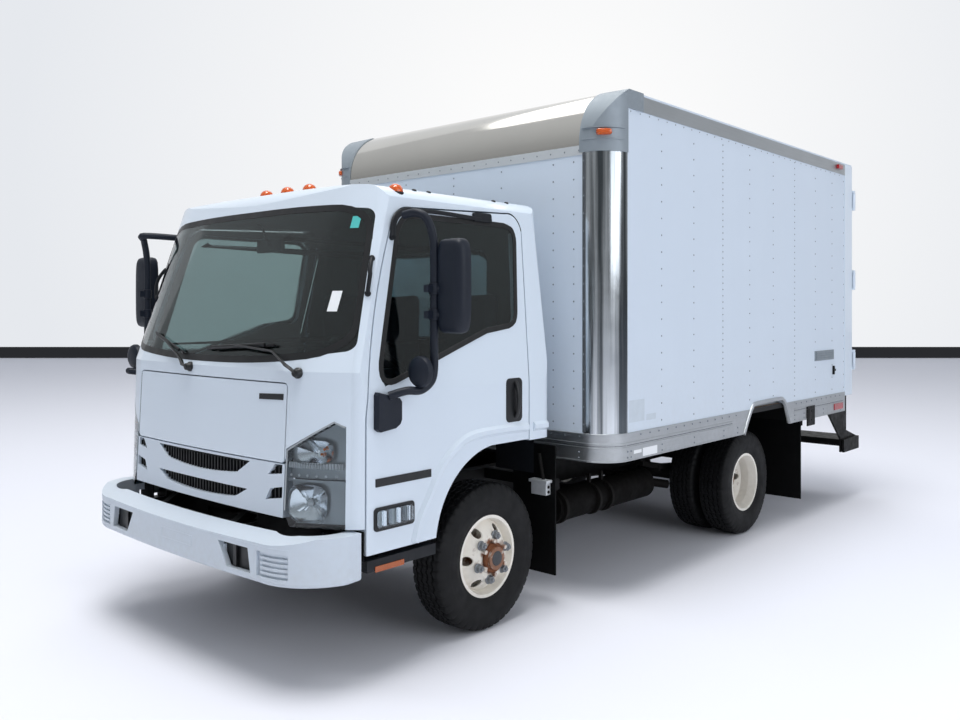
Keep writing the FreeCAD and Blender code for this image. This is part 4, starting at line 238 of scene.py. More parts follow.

# %% [markdown]
# Plastics and rubbers: textured black mouldings, tyre rubber that has gone grey with dust,
# rubber sheet for the flaps, and woven cloth for the seats. The box's floor is oiled board on
# top. Its edges and underside are near-black as painted shade, so that the floor's edge where
# the wheel cut shows it reads as a shaded recess.

# %% Plastics, rubbers and cloth
black_moulding = finish_of("grained_black_plastic", "#0D1117", 0.52, drift=0.1, dull=0.1,
                           relief=0.15, relief_mm=1.2, ior=1.4)
tyre_rubber = finish_of("tyre_rubber", "#07080A", 0.62, drift=0.12, drift_mm=60, dull=0.08,
                        relief=0.2, relief_mm=2, dust="#2E2C29", dust_low_mm=0,
                        dust_high_mm=760, dust_most=0.08, ior=1.35)
flap_rubber = finish_of("flap_rubber", "#040506", 0.7, drift=0.15, dull=0.1, relief=0.2,
                        relief_mm=3, dust="#2A2724", dust_low_mm=100, dust_high_mm=700,
                        dust_most=0.06, ior=1.25)
seat_cloth = finish_of("woven_seat_cloth", "#30343A", 0.92, drift=0.12, drift_mm=30,
                       relief=0.5, relief_mm=1.6, ior=1.3)
cab_lining = finish_of("grey_cab_lining", "#5E6462", 0.85, drift=0.06, drift_mm=200, relief=0.2,
                       relief_mm=2, ior=1.35)
deck_board = finish_of("oiled_board_with_painted_shade_edges", "#7A5C3C", 0.7, drift=0.25, drift_mm=90,
                       stretch=(1, 0.08, 1), relief=0.4, relief_mm=4)
# Painted shade on the floor board: faces that do not face up are near-black.
tree = deck_board.node_tree
board_colour = shader_of(deck_board).inputs["Base Color"]
board = board_colour.links[0].from_socket
facing = node(tree, "ShaderNodeSeparateXYZ", Vector=node(
    tree, "ShaderNodeNewGeometry").outputs["Normal"]).outputs["Z"]
top_face_else_painted_shade = node(tree, "ShaderNodeMath", {"operation": "GREATER_THAN"}, _0=facing, _1=0.5)
board = node(tree, "ShaderNodeMix", {"data_type": "RGBA"}, _0=top_face_else_painted_shade.outputs[0],
             _6=linear("#121314"), _7=board).outputs[2]
tree.links.new(board, board_colour)
print("plastics, rubbers and cloth ready")

# %% [markdown]
# Glass is a thin clear sheet with a faint green-grey tint. A Principled shader with full
# transmission bends light in a solid pane, and the pane here is a real 7 mm solid, so it only
# needs its index of 1.5 and a tint that is deeper than it looks, as light crosses it twice. The
# cab's windows are tinted deeper than the door glass as painted shade, which darkens the gap
# between cab and box seen through them.

# %% Glass and lamp lenses
GREASE_FILM_MM = 180


def clear_finish(name, colour, rough, through=1.0, ior=1.5, coat=0.0):
    """A see-through finish: glass or a moulded lens."""
    made, tree = blank_finish(name)
    place = node(tree, "ShaderNodeTexCoord").outputs["Object"]
    film = node(tree, "ShaderNodeTexNoise", Vector=place, Scale=1 / (GREASE_FILM_MM * MM),
                Detail=4.0)
    haze = node(tree, "ShaderNodeMapRange", Value=film.outputs["Fac"], From_Min=0.35,
                From_Max=0.75, To_Min=rough, To_Max=rough + 0.05)
    shader = node(tree, "ShaderNodeBsdfPrincipled", Base_Color=linear(colour),
                  Roughness=haze.outputs["Result"], IOR=ior)
    shader.inputs["Transmission Weight"].default_value = through
    shader.inputs["Coat Weight"].default_value = coat
    node(tree, "ShaderNodeOutputMaterial", Surface=shader.outputs["BSDF"])
    return made


# Two tints of one glass: the cab's windows are darker as painted shade, and the doors' glass is
# lighter.
window_glass = clear_finish("cab_glass_painted_shade_tint", "#9DB0B0", 0.01)
door_glass = clear_finish("door_window_glass", "#B4C4C4", 0.01)
amber_lens = clear_finish("amber_lens", "#E8641A", 0.12, through=0.35, coat=0.5)
red_lens = clear_finish("red_lens", "#B3101C", 0.14, through=0.3, coat=0.5)
clear_lens = clear_finish("clear_lamp_lens", "#F2F6F8", 0.02)
lamp_bowl = finish_of("metallised_lamp_bowl", "#E6EAEE", 0.12, metal=1.0, drift=0.04,
                      dull=0.04, relief=0.25, relief_mm=16)
lamp_shroud = finish_of("grey_lamp_shroud", "#A3AAAE", 0.34, metal=0.5, drift=0.1, dull=0.08)
print("glass and lenses ready")

# %% [markdown]
# The wheels are pressed steel, painted off-white. Rust creeps out from the hub bore and from
# each nut, where paint was rubbed away, so its amount follows the distance from the wheel's
# axis, broken up by noise. Both axles lie along X, so that distance is measured in the YZ plane
# from the nearer axle.

# %% Rusted wheel steel
RUST_PATCH_MM = 35
RUST_GRAIN_MM = 12


def wheel_finish(name, colour, rust_from_mm, rust_to_mm):
    """Painted wheel steel whose rust fades with the distance from the axle."""
    made = finish_of(name, colour, 0.42, drift=0.05, dull=0.12, dull_mm=30, relief=0.15,
                     relief_mm=3, dust="#8A8072", dust_low_mm=120, dust_high_mm=600,
                     dust_most=0.3)
    tree = made.node_tree
    colour_in = shader_of(made).inputs["Base Color"]
    paint = colour_in.links[0].from_socket
    place = node(tree, "ShaderNodeTexCoord").outputs["Object"]
    part = node(tree, "ShaderNodeSeparateXYZ", Vector=place)
    reach = []
    for axle in (FRONT_AXLE_Y, REAR_AXLE_Y):
        along = node(tree, "ShaderNodeMath", {"operation": "SUBTRACT"}, _0=part.outputs["Y"],
                     _1=axle)
        up = node(tree, "ShaderNodeMath", {"operation": "SUBTRACT"}, _0=part.outputs["Z"],
                  _1=AXLE_Z * MM)
        both = node(tree, "ShaderNodeCombineXYZ", X=along.outputs[0], Y=up.outputs[0])
        reach.append(node(tree, "ShaderNodeVectorMath", {"operation": "LENGTH"},
                          _0=both.outputs[0]).outputs["Value"])
    nearer = node(tree, "ShaderNodeMath", {"operation": "MINIMUM"}, _0=reach[0], _1=reach[1])
    patch = node(tree, "ShaderNodeTexNoise", Vector=place, Scale=1 / (RUST_PATCH_MM * MM),
                 Detail=6.0)
    wander = node(tree, "ShaderNodeMapRange", Value=patch.outputs["Fac"], From_Min=0.3,
                  From_Max=0.7, To_Min=-RUST_PATCH_MM * MM, To_Max=RUST_PATCH_MM * MM)
    edge = node(tree, "ShaderNodeMath", {"operation": "ADD"}, _0=nearer.outputs[0],
                _1=wander.outputs["Result"])
    rust = node(tree, "ShaderNodeMapRange", Value=edge.outputs[0],
                From_Min=rust_from_mm * MM, From_Max=rust_to_mm * MM, To_Min=0.95, To_Max=0.0)
    tone = node(tree, "ShaderNodeTexNoise", Vector=place, Scale=1 / (RUST_GRAIN_MM * MM),
                Detail=4.0)
    brown = node(tree, "ShaderNodeMix", {"data_type": "RGBA"}, _0=tone.outputs["Fac"],
                 _6=linear("#3A2215"), _7=linear("#9A5A28"))
    mixed = node(tree, "ShaderNodeMix", {"data_type": "RGBA"}, _0=rust.outputs["Result"],
                 _6=paint, _7=brown.outputs[2])
    tree.links.new(mixed.outputs[2], colour_in)
    return made


wheel_steel = wheel_finish("pressed_wheel_steel", "#F2EDE3", 64, 112)
dual_wheel_steel = wheel_finish("rusted_dual_wheel_steel", "#F0ECE2", 104, 150)
print("wheel steel ready")

# %% [markdown]
# Now each solid of the frame gets its finish. The pieces keep the shapes they were drawn with.
# The cab's shell and doors are lined in grey inside. The bumper's back and the arms behind its
# front face are black as painted shade, so the mouth behind the bumper looks dark.

# %% Finishes on the frame
SOLIDS = (
    (enamel, "cab_shell door_left door_right front_lid rear_frame"),
    (panel_paint, "cargo_sides cargo_front cargo_roof rear_door_left rear_door_right"),
    (moulded_white, "grille front_bumper"),
    (window_glass, "cab_glass"),
    (door_glass, "door_glass_left door_glass_right"),
    (clear_lens, "headlamps"),
    (amber_lens, "roof_lamps marker_lamps"),
    (mirror_steel, "corner_posts"),
    (nose_steel, "nose_cap"),
    (cast_grey, "corner_caps"),
    (extruded, "top_rails skirt_rail"),
    (deck_board, "cargo_floor"),
    (chassis_black, "cargo_subframe frame_rails rear_step fuel_tank"),
    (black_iron, "front_axle rear_axle leaf_springs knuckle_left knuckle_right tie_rod "
                 "propshaft engine"),
    (hot_steel, "exhaust"),
    (black_moulding, "wheel_liners cab_steps dashboard steering_wheel mirror_left mirror_right"),
    (flap_rubber, "cab_floor mudflaps"),
    (seat_cloth, "seats"),
)
FINISHES = {name: finish for finish, names in SOLIDS for name in names.split()}
for end, _, side, _ in WHEELS:
    FINISHES["tyre_%s_%s" % (end, side)] = tyre_rubber
    FINISHES["rim_%s_%s" % (end, side)] = wheel_steel if end == "front" else dual_wheel_steel


def dress(piece, *finishes):
    """Gives a piece its finishes, the first one to every face."""
    piece.data.materials.clear()
    for finish in finishes:
        piece.data.materials.append(finish)


for name, piece in NODES.items():
    if name in FINISHES:
        dress(piece, FINISHES[name])


LEAST_FACING = 0.55
BUMPER_PAINTED_SHADE_FROM = -1185


def line_with(name, finish, middle):
    """Gives the faces of a shell that look towards a middle point another finish."""
    shell = NODES[name]
    dress(shell, FINISHES[name], finish)
    for face in shell.data.polygons:
        inward = middle - shell.matrix_world @ face.center
        outward = shell.matrix_world.to_3x3() @ face.normal
        if outward.dot(inward.normalized()) > LEAST_FACING:
            face.material_index = 1


for name in ("cab_shell", "door_left", "door_right"):
    line_with(name, cab_lining, at(0, -330, 1620))
# Painted shade: the bumper's faces behind its front, and its faces turned to the rear, take black.
for face in NODES["front_bumper"].data.polygons:
    if (face.center.y - FRONT_AXLE_Y) / MM > BUMPER_PAINTED_SHADE_FROM or face.normal.y > 0.5:
        face.material_index = 1
dress(NODES["front_bumper"], moulded_white, chassis_black)
print("finished", len(FINISHES), "solids; left plain:", sorted(set(NODES) - set(FINISHES)))

# %% [markdown]
# Small parts are placed against the solids that carry them. Casting a ray onto a solid finds
# the exact skin, so a seal or a rivet sits on the real curve of the cab and not near it. The
# ray tree of each solid is built once, when it is first needed.

# %% Rays onto the solids
TREES = {}


def points_of(name):
    """The corner points of one solid of the frame, in the scene."""
    return [NODES[name].matrix_world @ point.co for point in NODES[name].data.vertices]


def tree_of(name):
    """The ray tree of one solid of the frame."""
    if name not in TREES:
        faces = [list(face.vertices) for face in NODES[name].data.polygons]
        TREES[name] = BVHTree.FromPolygons(points_of(name), faces)
    return TREES[name]


def cast(name, start, heading):
    """Where a ray from a point first meets a solid, with the skin's outward direction."""
    place, normal, _, _ = tree_of(name).ray_cast(Vector(start), Vector(heading).normalized())
    if place is None:
        return None
    if normal.dot(Vector(heading)) > 0:
        normal = -normal
    return place, normal


FROM_LEFT = Vector((-1, 0, 0))
FROM_FRONT = Vector((0, 1, 0))
hit = cast("door_left", at(2000, -300, 1200), FROM_LEFT)
print("the door's skin is at X", round(hit[0].x, 4))

# %% [markdown]
# Every added piece is a mesh that gets a finish, smooth shading and the body that carries it.
# One function does that for all of them. A tiny bevel on hard edges catches the light as real
# edges do.

# %% Piece helpers


def put_in_scene(name, data):
    """A new object in the scene for a mesh, a light or a camera."""
    made = bpy.data.objects.new(name, data)
    bpy.context.scene.collection.objects.link(made)
    return made


def piece_of(name, work, finish, rides, bevel=0.0, smooth=True):
    """Turns mesh work into a piece with a finish that rides on a body."""
    mesh = bpy.data.meshes.new(name)
    bmesh.ops.recalc_face_normals(work, faces=work.faces)
    work.to_mesh(mesh)
    work.free()
    made = put_in_scene(name, mesh)
    finishes = finish if isinstance(finish, (list, tuple)) else [finish]
    for one in finishes:
        mesh.materials.append(one)
    if smooth:
        mesh.shade_smooth()
        mesh.set_sharp_from_angle(angle=math.radians(32))
    if bevel:
        edge = made.modifiers.new("soft_edges", "BEVEL")
        edge.width = bevel * MM
        edge.segments = 2
        edge.limit_method = "ANGLE"
        edge.angle_limit = math.radians(40)
    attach(made, rides)
    return made


def add_ring_strip(work, rings, closed=True, capped=True, tone=0):
    """Skins a list of rings of points with quads, and closes both ends."""
    loops = [[work.verts.new(p) for p in ring] for ring in rings]
    count = len(rings[0])
    reach = count if closed else count - 1
    for low, high in zip(loops, loops[1:]):
        for n in range(reach):
            m = (n + 1) % count
            work.faces.new((low[n], low[m], high[m], high[n])).material_index = tone
    if capped and closed:
        for loop in (loops[0][::-1], loops[-1]):
            work.faces.new(loop).material_index = tone


def add_block(work, low, high, tone=0):
    """A box between two corners, in scene metres."""
    corners = [work.verts.new((x, y, z)) for x in (low[0], high[0]) for y in (low[1], high[1])
               for z in (low[2], high[2])]
    for face in ((0, 1, 3, 2), (4, 6, 7, 5), (0, 4, 5, 1), (2, 3, 7, 6), (0, 2, 6, 4),
                 (1, 5, 7, 3)):
        work.faces.new([corners[n] for n in face]).material_index = tone


def add_block_at(work, spot, across, near, far, high, tone=0):
    """A box round a spot: half its width, both ends along Y and half its height, in mm."""
    add_block(work, spot + Vector((-across, near, -high)) * MM,
              spot + Vector((across, far, high)) * MM, tone)


def add_side_block(work, hand, across, along, heights, tone=0):
    """A box on one side of the truck, from pairs of places in millimetres."""
    low, high = sorted((hand * across[0], hand * across[1]))
    add_block(work, at(low, along[0], heights[0]), at(high, along[1], heights[1]), tone)


def frame_at(heading):
    """Two directions square to a heading."""
    heading = heading.normalized()
    guide = Vector((0, 0, 1)) if abs(heading.z) < 0.9 else Vector((1, 0, 0))
    side = guide.cross(heading).normalized()
    return side, heading.cross(side)


def circle(middle, side, up, radius, count, turn=0.0):
    """Points round a middle in the plane of two directions; the radius is in millimetres."""
    return [middle + (side * math.cos(a) + up * math.sin(a)) * radius * MM
            for a in (2 * math.pi * n / count + turn for n in range(count))]


def squarish(value, power):
    """A cosine or sine raised to a power with its sign kept, which squares a circle up."""
    return math.copysign(abs(value) ** power, value)


def add_lathe(work, centre, axis, profile, steps=24, tone=0, tones=None, squash=1.0):
    """A turned form: a profile of (distance along the axis, radius) in millimetres."""
    axis = Vector(axis).normalized()
    side, up = frame_at(axis)
    rings = [circle(Vector(centre) + axis * along * MM, side, up * squash, radius, steps)
             for along, radius in profile]
    before = len(work.faces)
    add_ring_strip(work, rings, tone=tone)
    if tones:
        work.faces.ensure_lookup_table()
        for band, value in tones.items():
            for n in range(steps):
                work.faces[before + band * steps + n].material_index = value


def smooth_path(points, steps=6):
    """A finer path through the points, by a Catmull-Rom curve."""
    points = [Vector(p) for p in points]
    count = len(points)
    fine = []
    for n in range(count - 1):
        a, b, c, d = (points[min(max(n + k, 0), count - 1)] for k in (-1, 0, 1, 2))
        for step in range(steps):
            t = step / steps
            fine.append(0.5 * (2 * b + (c - a) * t + (2 * a - 5 * b + 4 * c - d) * t ** 2
                               + (3 * b - a - 3 * c + d) * t ** 3))
    return fine + [points[-1]]


def add_tube(work, points, radius, sides=10, tone=0, flat=1.0):
    """A round or flattened bar along a path; the radius is one number or one a point."""
    points = [Vector(p) for p in points]
    count = len(points)
    radii = radius if isinstance(radius, (list, tuple)) else [radius] * count
    rings = []
    side = None
    for n, point in enumerate(points):
        heading = (points[min(n + 1, count - 1)] - points[max(n - 1, 0)]).normalized()
        if side is None:
            side, up = frame_at(heading)
        else:
            side = (side - heading * side.dot(heading)).normalized()
            up = heading.cross(side)
        rings.append(circle(point, side, up * flat, radii[n], sides))
    add_ring_strip(work, rings, tone=tone)


def add_band(work, path, normals, width, height, sink=2.0, tone=0, closed=False, slant=0.0):
    """A strip along a path on a skin: width across, height above the skin, in millimetres."""
    count = len(path)
    rings = []
    for n, point in enumerate(path):
        before = path[n - 1] if n or closed else point
        after = path[(n + 1) % count] if n < count - 1 or closed else point
        heading = (after - before).normalized()
        normal = normals[n].normalized()
        across = heading.cross(normal).normalized() * width * MM / 2
        low, high = -normal * sink * MM, normal * height * MM
        rings.append([point - across + low, point - across * (1 - slant) + high,
                      point + across * (1 - slant) + high, point + across + low])
    if closed:
        rings.append(rings[0])
    add_ring_strip(work, rings, tone=tone, capped=not closed)


def on_skin(names, points, heading, back=1.0):
    """Projects points along a heading onto the first of several solids that they meet."""
    path, normals = [], []
    for point in points:
        best = None
        for name in names:
            found = cast(name, point - heading * back, heading)
            if found and (best is None or (found[0] - point).dot(heading)
                          < (best[0] - point).dot(heading)):
                best = found
        if best:
            path.append(best[0])
            normals.append(best[1])
    return path, normals


def add_skin_band(work, names, points, heading, width, height, **more):
    """A strip on the skin of some solids, along a line of points that is projected on it."""
    path, normals = on_skin(names, points, heading)
    add_band(work, path, normals, width, height, **more)


def dense(points, step, closed=False):
    """More points along straight runs, at most a step apart in millimetres."""
    fine = []
    ends = zip(points, points[1:] + points[:1]) if closed else zip(points, points[1:])
    for a, b in ends:
        runs = max(1, math.ceil((b - a).length / (step * MM)))
        fine += [a.lerp(b, k / runs) for k in range(runs)]
    if not closed:
        fine.append(points[-1])
    return fine


def add_patch(work, names, corners, heading, height, tone=0, sink=1.0, step=25.0):
    """A thin raised panel whose outline is projected onto a skin."""
    outline = dense(corners, step, closed=True)
    path, normals = on_skin(names, outline, heading)
    top = [work.verts.new(p + n * height * MM) for p, n in zip(path, normals)]
    low = [work.verts.new(p - n * sink * MM) for p, n in zip(path, normals)]
    count = len(top)
    middle = sum((p + n * height * MM for p, n in zip(path, normals)), Vector()) / count
    centre, normal = on_skin(names, [sum(outline, Vector()) / count], heading)
    if centre:
        middle = centre[0] + normal[0] * height * MM
    hub = work.verts.new(middle)
    for n in range(count):
        m = (n + 1) % count
        work.faces.new((top[n], top[m], hub)).material_index = tone
        work.faces.new((low[n], low[m], top[m], top[n])).material_index = tone


print("helpers ready")

# %% [markdown]
# A truck tyre is a hoop with a round sidewall, four zigzag grooves and shoulder blocks with
# open slots between them. Turning one outline about the axle gives the hoop. The outline's
# points are then moved a little at each step round the wheel: in at the shoulder slots, and
# sideways along the grooves, which makes the tread without any cutting.

# %% Tyres
TYRE_RADIUS = 381
TYRE_HALF = 107
TREAD_STEPS = 240
BLOCK_STEPS = 5
SLOT_DEPTH = 5
GROOVE_DEPTH = 11


def tyre_outline():
    """Half-turn outline as (across, radius, kind), kind is side, shoulder, rib or groove."""
    side = [(-70, 204, "side"), (-80, 206, "side"), (-88, 213, "side"), (-92, 222, "side"),
            (-92, 226, "side"), (-98, 236, "side"), (-103, 256, "side"), (-105.5, 276, "side"),
            (-TYRE_HALF, 292, "side"), (-106.5, 296, "side"), (-107, 300, "side"),
            (-106, 318, "side"), (-103, 336, "side"), (-100, 350, "shoulder"),
            (-94, 364, "shoulder"), (-86, 374, "shoulder"), (-76, 377.5, "shoulder")]
    tread = [(-60, 378.5, "shoulder")]
    for middle in (-52, -18, 18, 52):
        crown = TYRE_RADIUS - 3 * (middle / 80) ** 2
        tread += [(middle - 6, crown, "rib"), (middle - 3.5, crown - GROOVE_DEPTH, "groove"),
                  (middle + 3.5, crown - GROOVE_DEPTH, "groove"), (middle + 6, crown, "rib")]
    tread.append((60, 378.5, "shoulder"))
    return side + tread + [(-x, r, kind) for x, r, kind in reversed(side)]


def add_tyre(work, centre):
    """One tyre hoop whose axle lies along X."""
    rings = []
    for step in range(TREAD_STEPS):
        turn = 2 * math.pi * step / TREAD_STEPS
        phase = step % BLOCK_STEPS
        ring = []
        for across, radius, kind in tyre_outline():
            if kind == "shoulder" and phase == 0:
                radius -= SLOT_DEPTH
                across -= math.copysign(1, across)
            elif kind in ("rib", "groove"):
                across += 3.5 if phase < BLOCK_STEPS / 2 else -3.5
                if kind == "rib" and phase in (0, 2):
                    radius -= 3
            ring.append(Vector((centre.x + across * MM,
                                centre.y + math.sin(turn) * radius * MM,
                                centre.z + math.cos(turn) * radius * MM)))
        rings.append(ring)
    loops = [[work.verts.new(p) for p in ring] for ring in rings]
    for low, high in zip(loops, loops[1:] + loops[:1]):
        for n in range(len(low)):
            m = (n + 1) % len(low)
            work.faces.new((low[n], low[m], high[m], high[n]))


TYRES_AT = {"front": (834.5,), "rear": (698.5, 943.5)}
for end, axle, side, hand in WHEELS:
    work = bmesh.new()
    for x in TYRES_AT[end]:
        add_tyre(work, at(hand * x, axle, AXLE_Z))
    rubber = piece_of("treaded_tyre_%s_%s" % (end, side), work, tyre_rubber,
                      "wheel_%s_%s" % (end, side))
    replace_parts(rubber, "tyre_%s_%s" % (end, side))
print("tyres have", len(rubber.data.polygons), "faces a pair")

# %% [markdown]
# Each wheel is held by six flanged nuts on studs, with a hub between them that is rusted round
# a greased iron middle. The nuts are plated steel that has gone grey, so their colour follows a
# small noise.

# %% Nuts and hubs
nut_steel = finish_of("weathered_nut_steel", "#7E8286", 0.48, metal=0.4, drift=0.3,
                      drift_mm=12, dull=0.15, dull_mm=8, relief=0.2, relief_mm=2)
hub_rust = finish_of("rusted_hub_iron", "#6B3D20", 0.86, drift=0.45, drift_mm=14, dull=0.1,
                     relief=0.8, relief_mm=3)
hub_iron = finish_of("greased_hub_iron", "#3A3C40", 0.55, drift=0.4, drift_mm=16, dull=0.1,
                     relief=0.6, relief_mm=3)
LUG_RING = 112
BESIDE = 1300


def add_nut(work, place, axis, turn):
    """A flanged hexagon nut with a stud end."""
    axis = Vector(axis)
    side, up = frame_at(axis)
    add_lathe(work, place, axis, [(-2, 25), (3, 25), (6, 22), (7, 18)], 20)
    add_ring_strip(work, [circle(place + axis * along * MM, side, up, radius, 6, turn)
                          for along, radius in ((5, 20), (24, 20), (27, 16))])
    add_lathe(work, place, axis, [(24, 9.5), (35, 9.5), (37, 7.5)], 12)


for end, axle, side, hand in WHEELS:
    work = bmesh.new()
    place = "%s_%s" % (end, side)
    for n in range(6):
        turn = math.radians(60 * n + 12)
        seat, _ = cast("rim_" + place, at(hand * BESIDE, axle + math.sin(turn) * LUG_RING,
                                          AXLE_Z + math.cos(turn) * LUG_RING), (-hand, 0, 0))
        add_nut(work, seat, (hand, 0, 0), n * 0.4)
    piece_of("wheel_nuts_" + place, work, nut_steel, "wheel_" + place)
    work = bmesh.new()
    tip, _ = cast("rim_" + place, at(hand * BESIDE, axle, AXLE_Z), (-hand, 0, 0))
    add_lathe(work, tip, (hand, 0, 0),
              [(-30, 77), (-20, 77), (-15, 73), (-13, 58), (-10, 46), (-4, 42), (4, 34),
               (7, 20), (8, 6)], 28, tones={4: 1, 5: 1, 6: 1, 7: 1})
    work.faces.ensure_lookup_table()
    work.faces[-1].material_index = 1
    piece_of("hub_cap_" + place, work, [hub_rust, hub_iron], "wheel_" + place)
    print(place, "nut seat", round(seat.x / MM), "hub tip", round(tip.x / MM))

# %% [markdown]
# The windscreen is bonded in. A black ceramic border is fired on the glass so that sunlight
# never reaches the glue. The border's line is found by walking out from the middle of the glass
# until a ray meets the cab instead.

# %% Windscreen border
FURTHEST = 1400.0
HALVINGS = 14
trim_black = finish_of("satin_black_trim", "#0B0D10", 0.42, drift=0.1, dull=0.08, relief=0.08,
                       relief_mm=2)


def glass_edge(middle, turn, heading, glass, body):
    """How far the glass reaches from a middle point in one direction of the XZ or YZ plane."""
    near, far = 0.0, FURTHEST
    for _ in range(HALVINGS):
        reach = (near + far) / 2
        point = middle + turn * reach * MM
        pane = cast(glass, point - heading * 2, heading)
        skin = cast(body, point - heading * 2, heading)
        inside = pane and (not skin or (pane[0] - point).dot(heading)
                           < (skin[0] - point).dot(heading) + 0.001)
        near, far = (reach, far) if inside else (near, reach)
    return near


def glass_loop(middle, sideways, heading, glass, body, inset, count=150):
    """A loop of points a little inside a pane's edge."""
    turns = circle(Vector((0, 0, 0)), sideways, Vector((0, 0, 1)), 1 / MM, count)
    reach = [glass_edge(middle, turn, heading, glass, body) - inset for turn in turns]
    calm = [sorted((reach[n - 1], reach[n], reach[(n + 1) % count]))[1] for n in range(count)]
    calm = [sum(calm[(n + k) % count] for k in (-2, -1, 0, 1, 2)) / 5 for n in range(count)]
    loop = [middle + turn * r * MM for turn, r in zip(turns, calm)]
    return on_skin([glass], loop, heading, back=2.0)


screen_middle = at(0, -940, 1790)
path, normals = glass_loop(screen_middle, Vector((1, 0, 0)), FROM_FRONT, "cab_glass",
                           "cab_shell", 15)
work = bmesh.new()
add_band(work, path, normals, 34, 1.2, sink=0.5, closed=True)
piece_of("windscreen_border", work, trim_black, "cab")
print("windscreen border has", len(path), "points")

# %% [markdown]
# Two wipers rest low on the glass. Each is a flat steel arm on a spindle through the cowl, with
# a carrier, four short yokes and a rubber blade.

# %% Wipers
SCREEN = ["cab_glass", "cab_shell"]


def glass_line(points, out):
    """A path over the windscreen at a height above the skin, in millimetres."""
    path, normals = on_skin(SCREEN, dense(points, 30), FROM_FRONT)
    return [p + n * out * MM for p, n in zip(path, normals)]


def add_wiper(work, pivot, elbow, blade_from, blade_to):
    """One wiper: spindle, arm, carrier, yokes and blade."""
    seat, face = on_skin(SCREEN, [pivot], FROM_FRONT)
    add_lathe(work, seat[0], face[0], [(-4, 25), (8, 25), (16, 19), (28, 17), (32, 11)], 18)
    blade_mid = blade_from.lerp(blade_to, 0.5)
    arm = glass_line([pivot, elbow, blade_mid], 34)
    arm[0] = seat[0] + face[0] * 20 * MM
    add_tube(work, arm, [13] * 3 + [10] * (len(arm) - 3), 8, flat=0.6)
    carrier = glass_line([blade_from.lerp(blade_to, 0.12), blade_from.lerp(blade_to, 0.88)], 24)
    add_tube(work, carrier, 7, 8, flat=1.4)
    for share in (0.06, 0.3, 0.7, 0.94):
        foot = glass_line([blade_from.lerp(blade_to, share - 0.04),
                           blade_from.lerp(blade_to, share + 0.04)], 15)
        add_tube(work, foot, 4, 6, flat=2.0)
    add_skin_band(work, SCREEN, dense([blade_from, blade_to], 25), FROM_FRONT, 7, 13, sink=-1.5,
                  slant=0.5)


work = bmesh.new()
add_wiper(work, at(729, -1100, 1380), at(560, -1090, 1462), at(-10, -1090, 1465),
          at(545, -1080, 1497))
add_wiper(work, at(-133, -1110, 1374), at(-240, -1090, 1425), at(-590, -1090, 1535),
          at(-200, -1090, 1435))
piece_of("wipers", work, trim_black, "cab", bevel=0.6)
print("wipers placed")

# %% [markdown]
# Behind the grille's slots is the radiator's stone guard: a black plate with upright slats. It
# makes the openings read as deep and dark, with thin lighter lines across them.

# %% Grille depth
work = bmesh.new()
for n in range(50):
    x = -650 + n * 1300 / 49
    found = cast("grille", at(x, FAR_AHEAD, 757), FROM_FRONT)
    face_y = (found[0].y - FRONT_AXLE_Y) / MM + 10
    add_block(work, at(x - 3, face_y + 8, 752), at(x + 3, face_y + 20, 950))
back_rings = []
for x in range(-660, 661, 60):
    found = cast("grille", at(x, FAR_AHEAD, 757), FROM_FRONT)
    face_y = (found[0].y - FRONT_AXLE_Y) / MM + 28
    back_rings.append([at(x, face_y, 745), at(x, face_y, 954), at(x, face_y + 3, 954),
                       at(x, face_y + 3, 745)])
add_ring_strip(work, back_rings)
piece_of("grille_stone_guard", work, trim_black, "cab")
print("stone guard behind the grille")

# %% [markdown]
# Each headlamp is one clear cover over a moulded grey housing. The upper part is a deep bowl
# with two amber indicator bulbs, and the lower part is a second bowl with stepped facets and
# the main bulb. A ribbed bar divides them. The cover is thin, so its finish lets light straight
# through and only mirrors more at a slant.

# %% Headlamps
thin_cover, cover = blank_finish("thin_clear_cover")
slant = node(cover, "ShaderNodeFresnel", IOR=1.49)
straight = node(cover, "ShaderNodeBsdfTransparent", Color=linear("#E9EFF2"))
sheen = node(cover, "ShaderNodeBsdfGlossy", Color=linear("#FFFFFF"), Roughness=0.06)
mixed = node(cover, "ShaderNodeMixShader", _0=slant.outputs[0], _1=straight.outputs[0],
             _2=sheen.outputs[0])
node(cover, "ShaderNodeOutputMaterial", Surface=mixed.outputs[0])
dress(NODES["headlamps"], thin_cover)
bulb_amber = finish_of("amber_bulb", "#E2711D", 0.25, drift=0.1, coat=0.5)
bright_rib = finish_of("bright_ribbed_bar", "#EEF1F4", 0.25, drift=0.05, dull=0.05, relief=0.4,
                       relief_mm=4)


def lamp_depth(x, z, deep):
    """A point behind a headlamp's cover by a depth in millimetres."""
    found = cast("headlamps", at(x, FAR_AHEAD, z), FROM_FRONT)
    return found[0] + Vector((0, deep * MM, 0)) if found else None


def add_lamp_sheet(work, hand, corners, deep, tone):
    """A sheet that follows the cover at a depth, between corners given as (across, height)."""
    low_left, low_right, high_right, high_left = (Vector(corner) for corner in corners)
    rings = []
    for row in range(9):
        ring = []
        for column in range(9):
            low = low_left.lerp(low_right, column / 8)
            x, z = low.lerp(high_left.lerp(high_right, column / 8), row / 8)
            ring.append(lamp_depth(hand * x, z, deep))
        rings.append(ring)
    if all(p is not None for ring in rings for p in ring):
        add_ring_strip(work, rings, closed=False, capped=False, tone=tone)


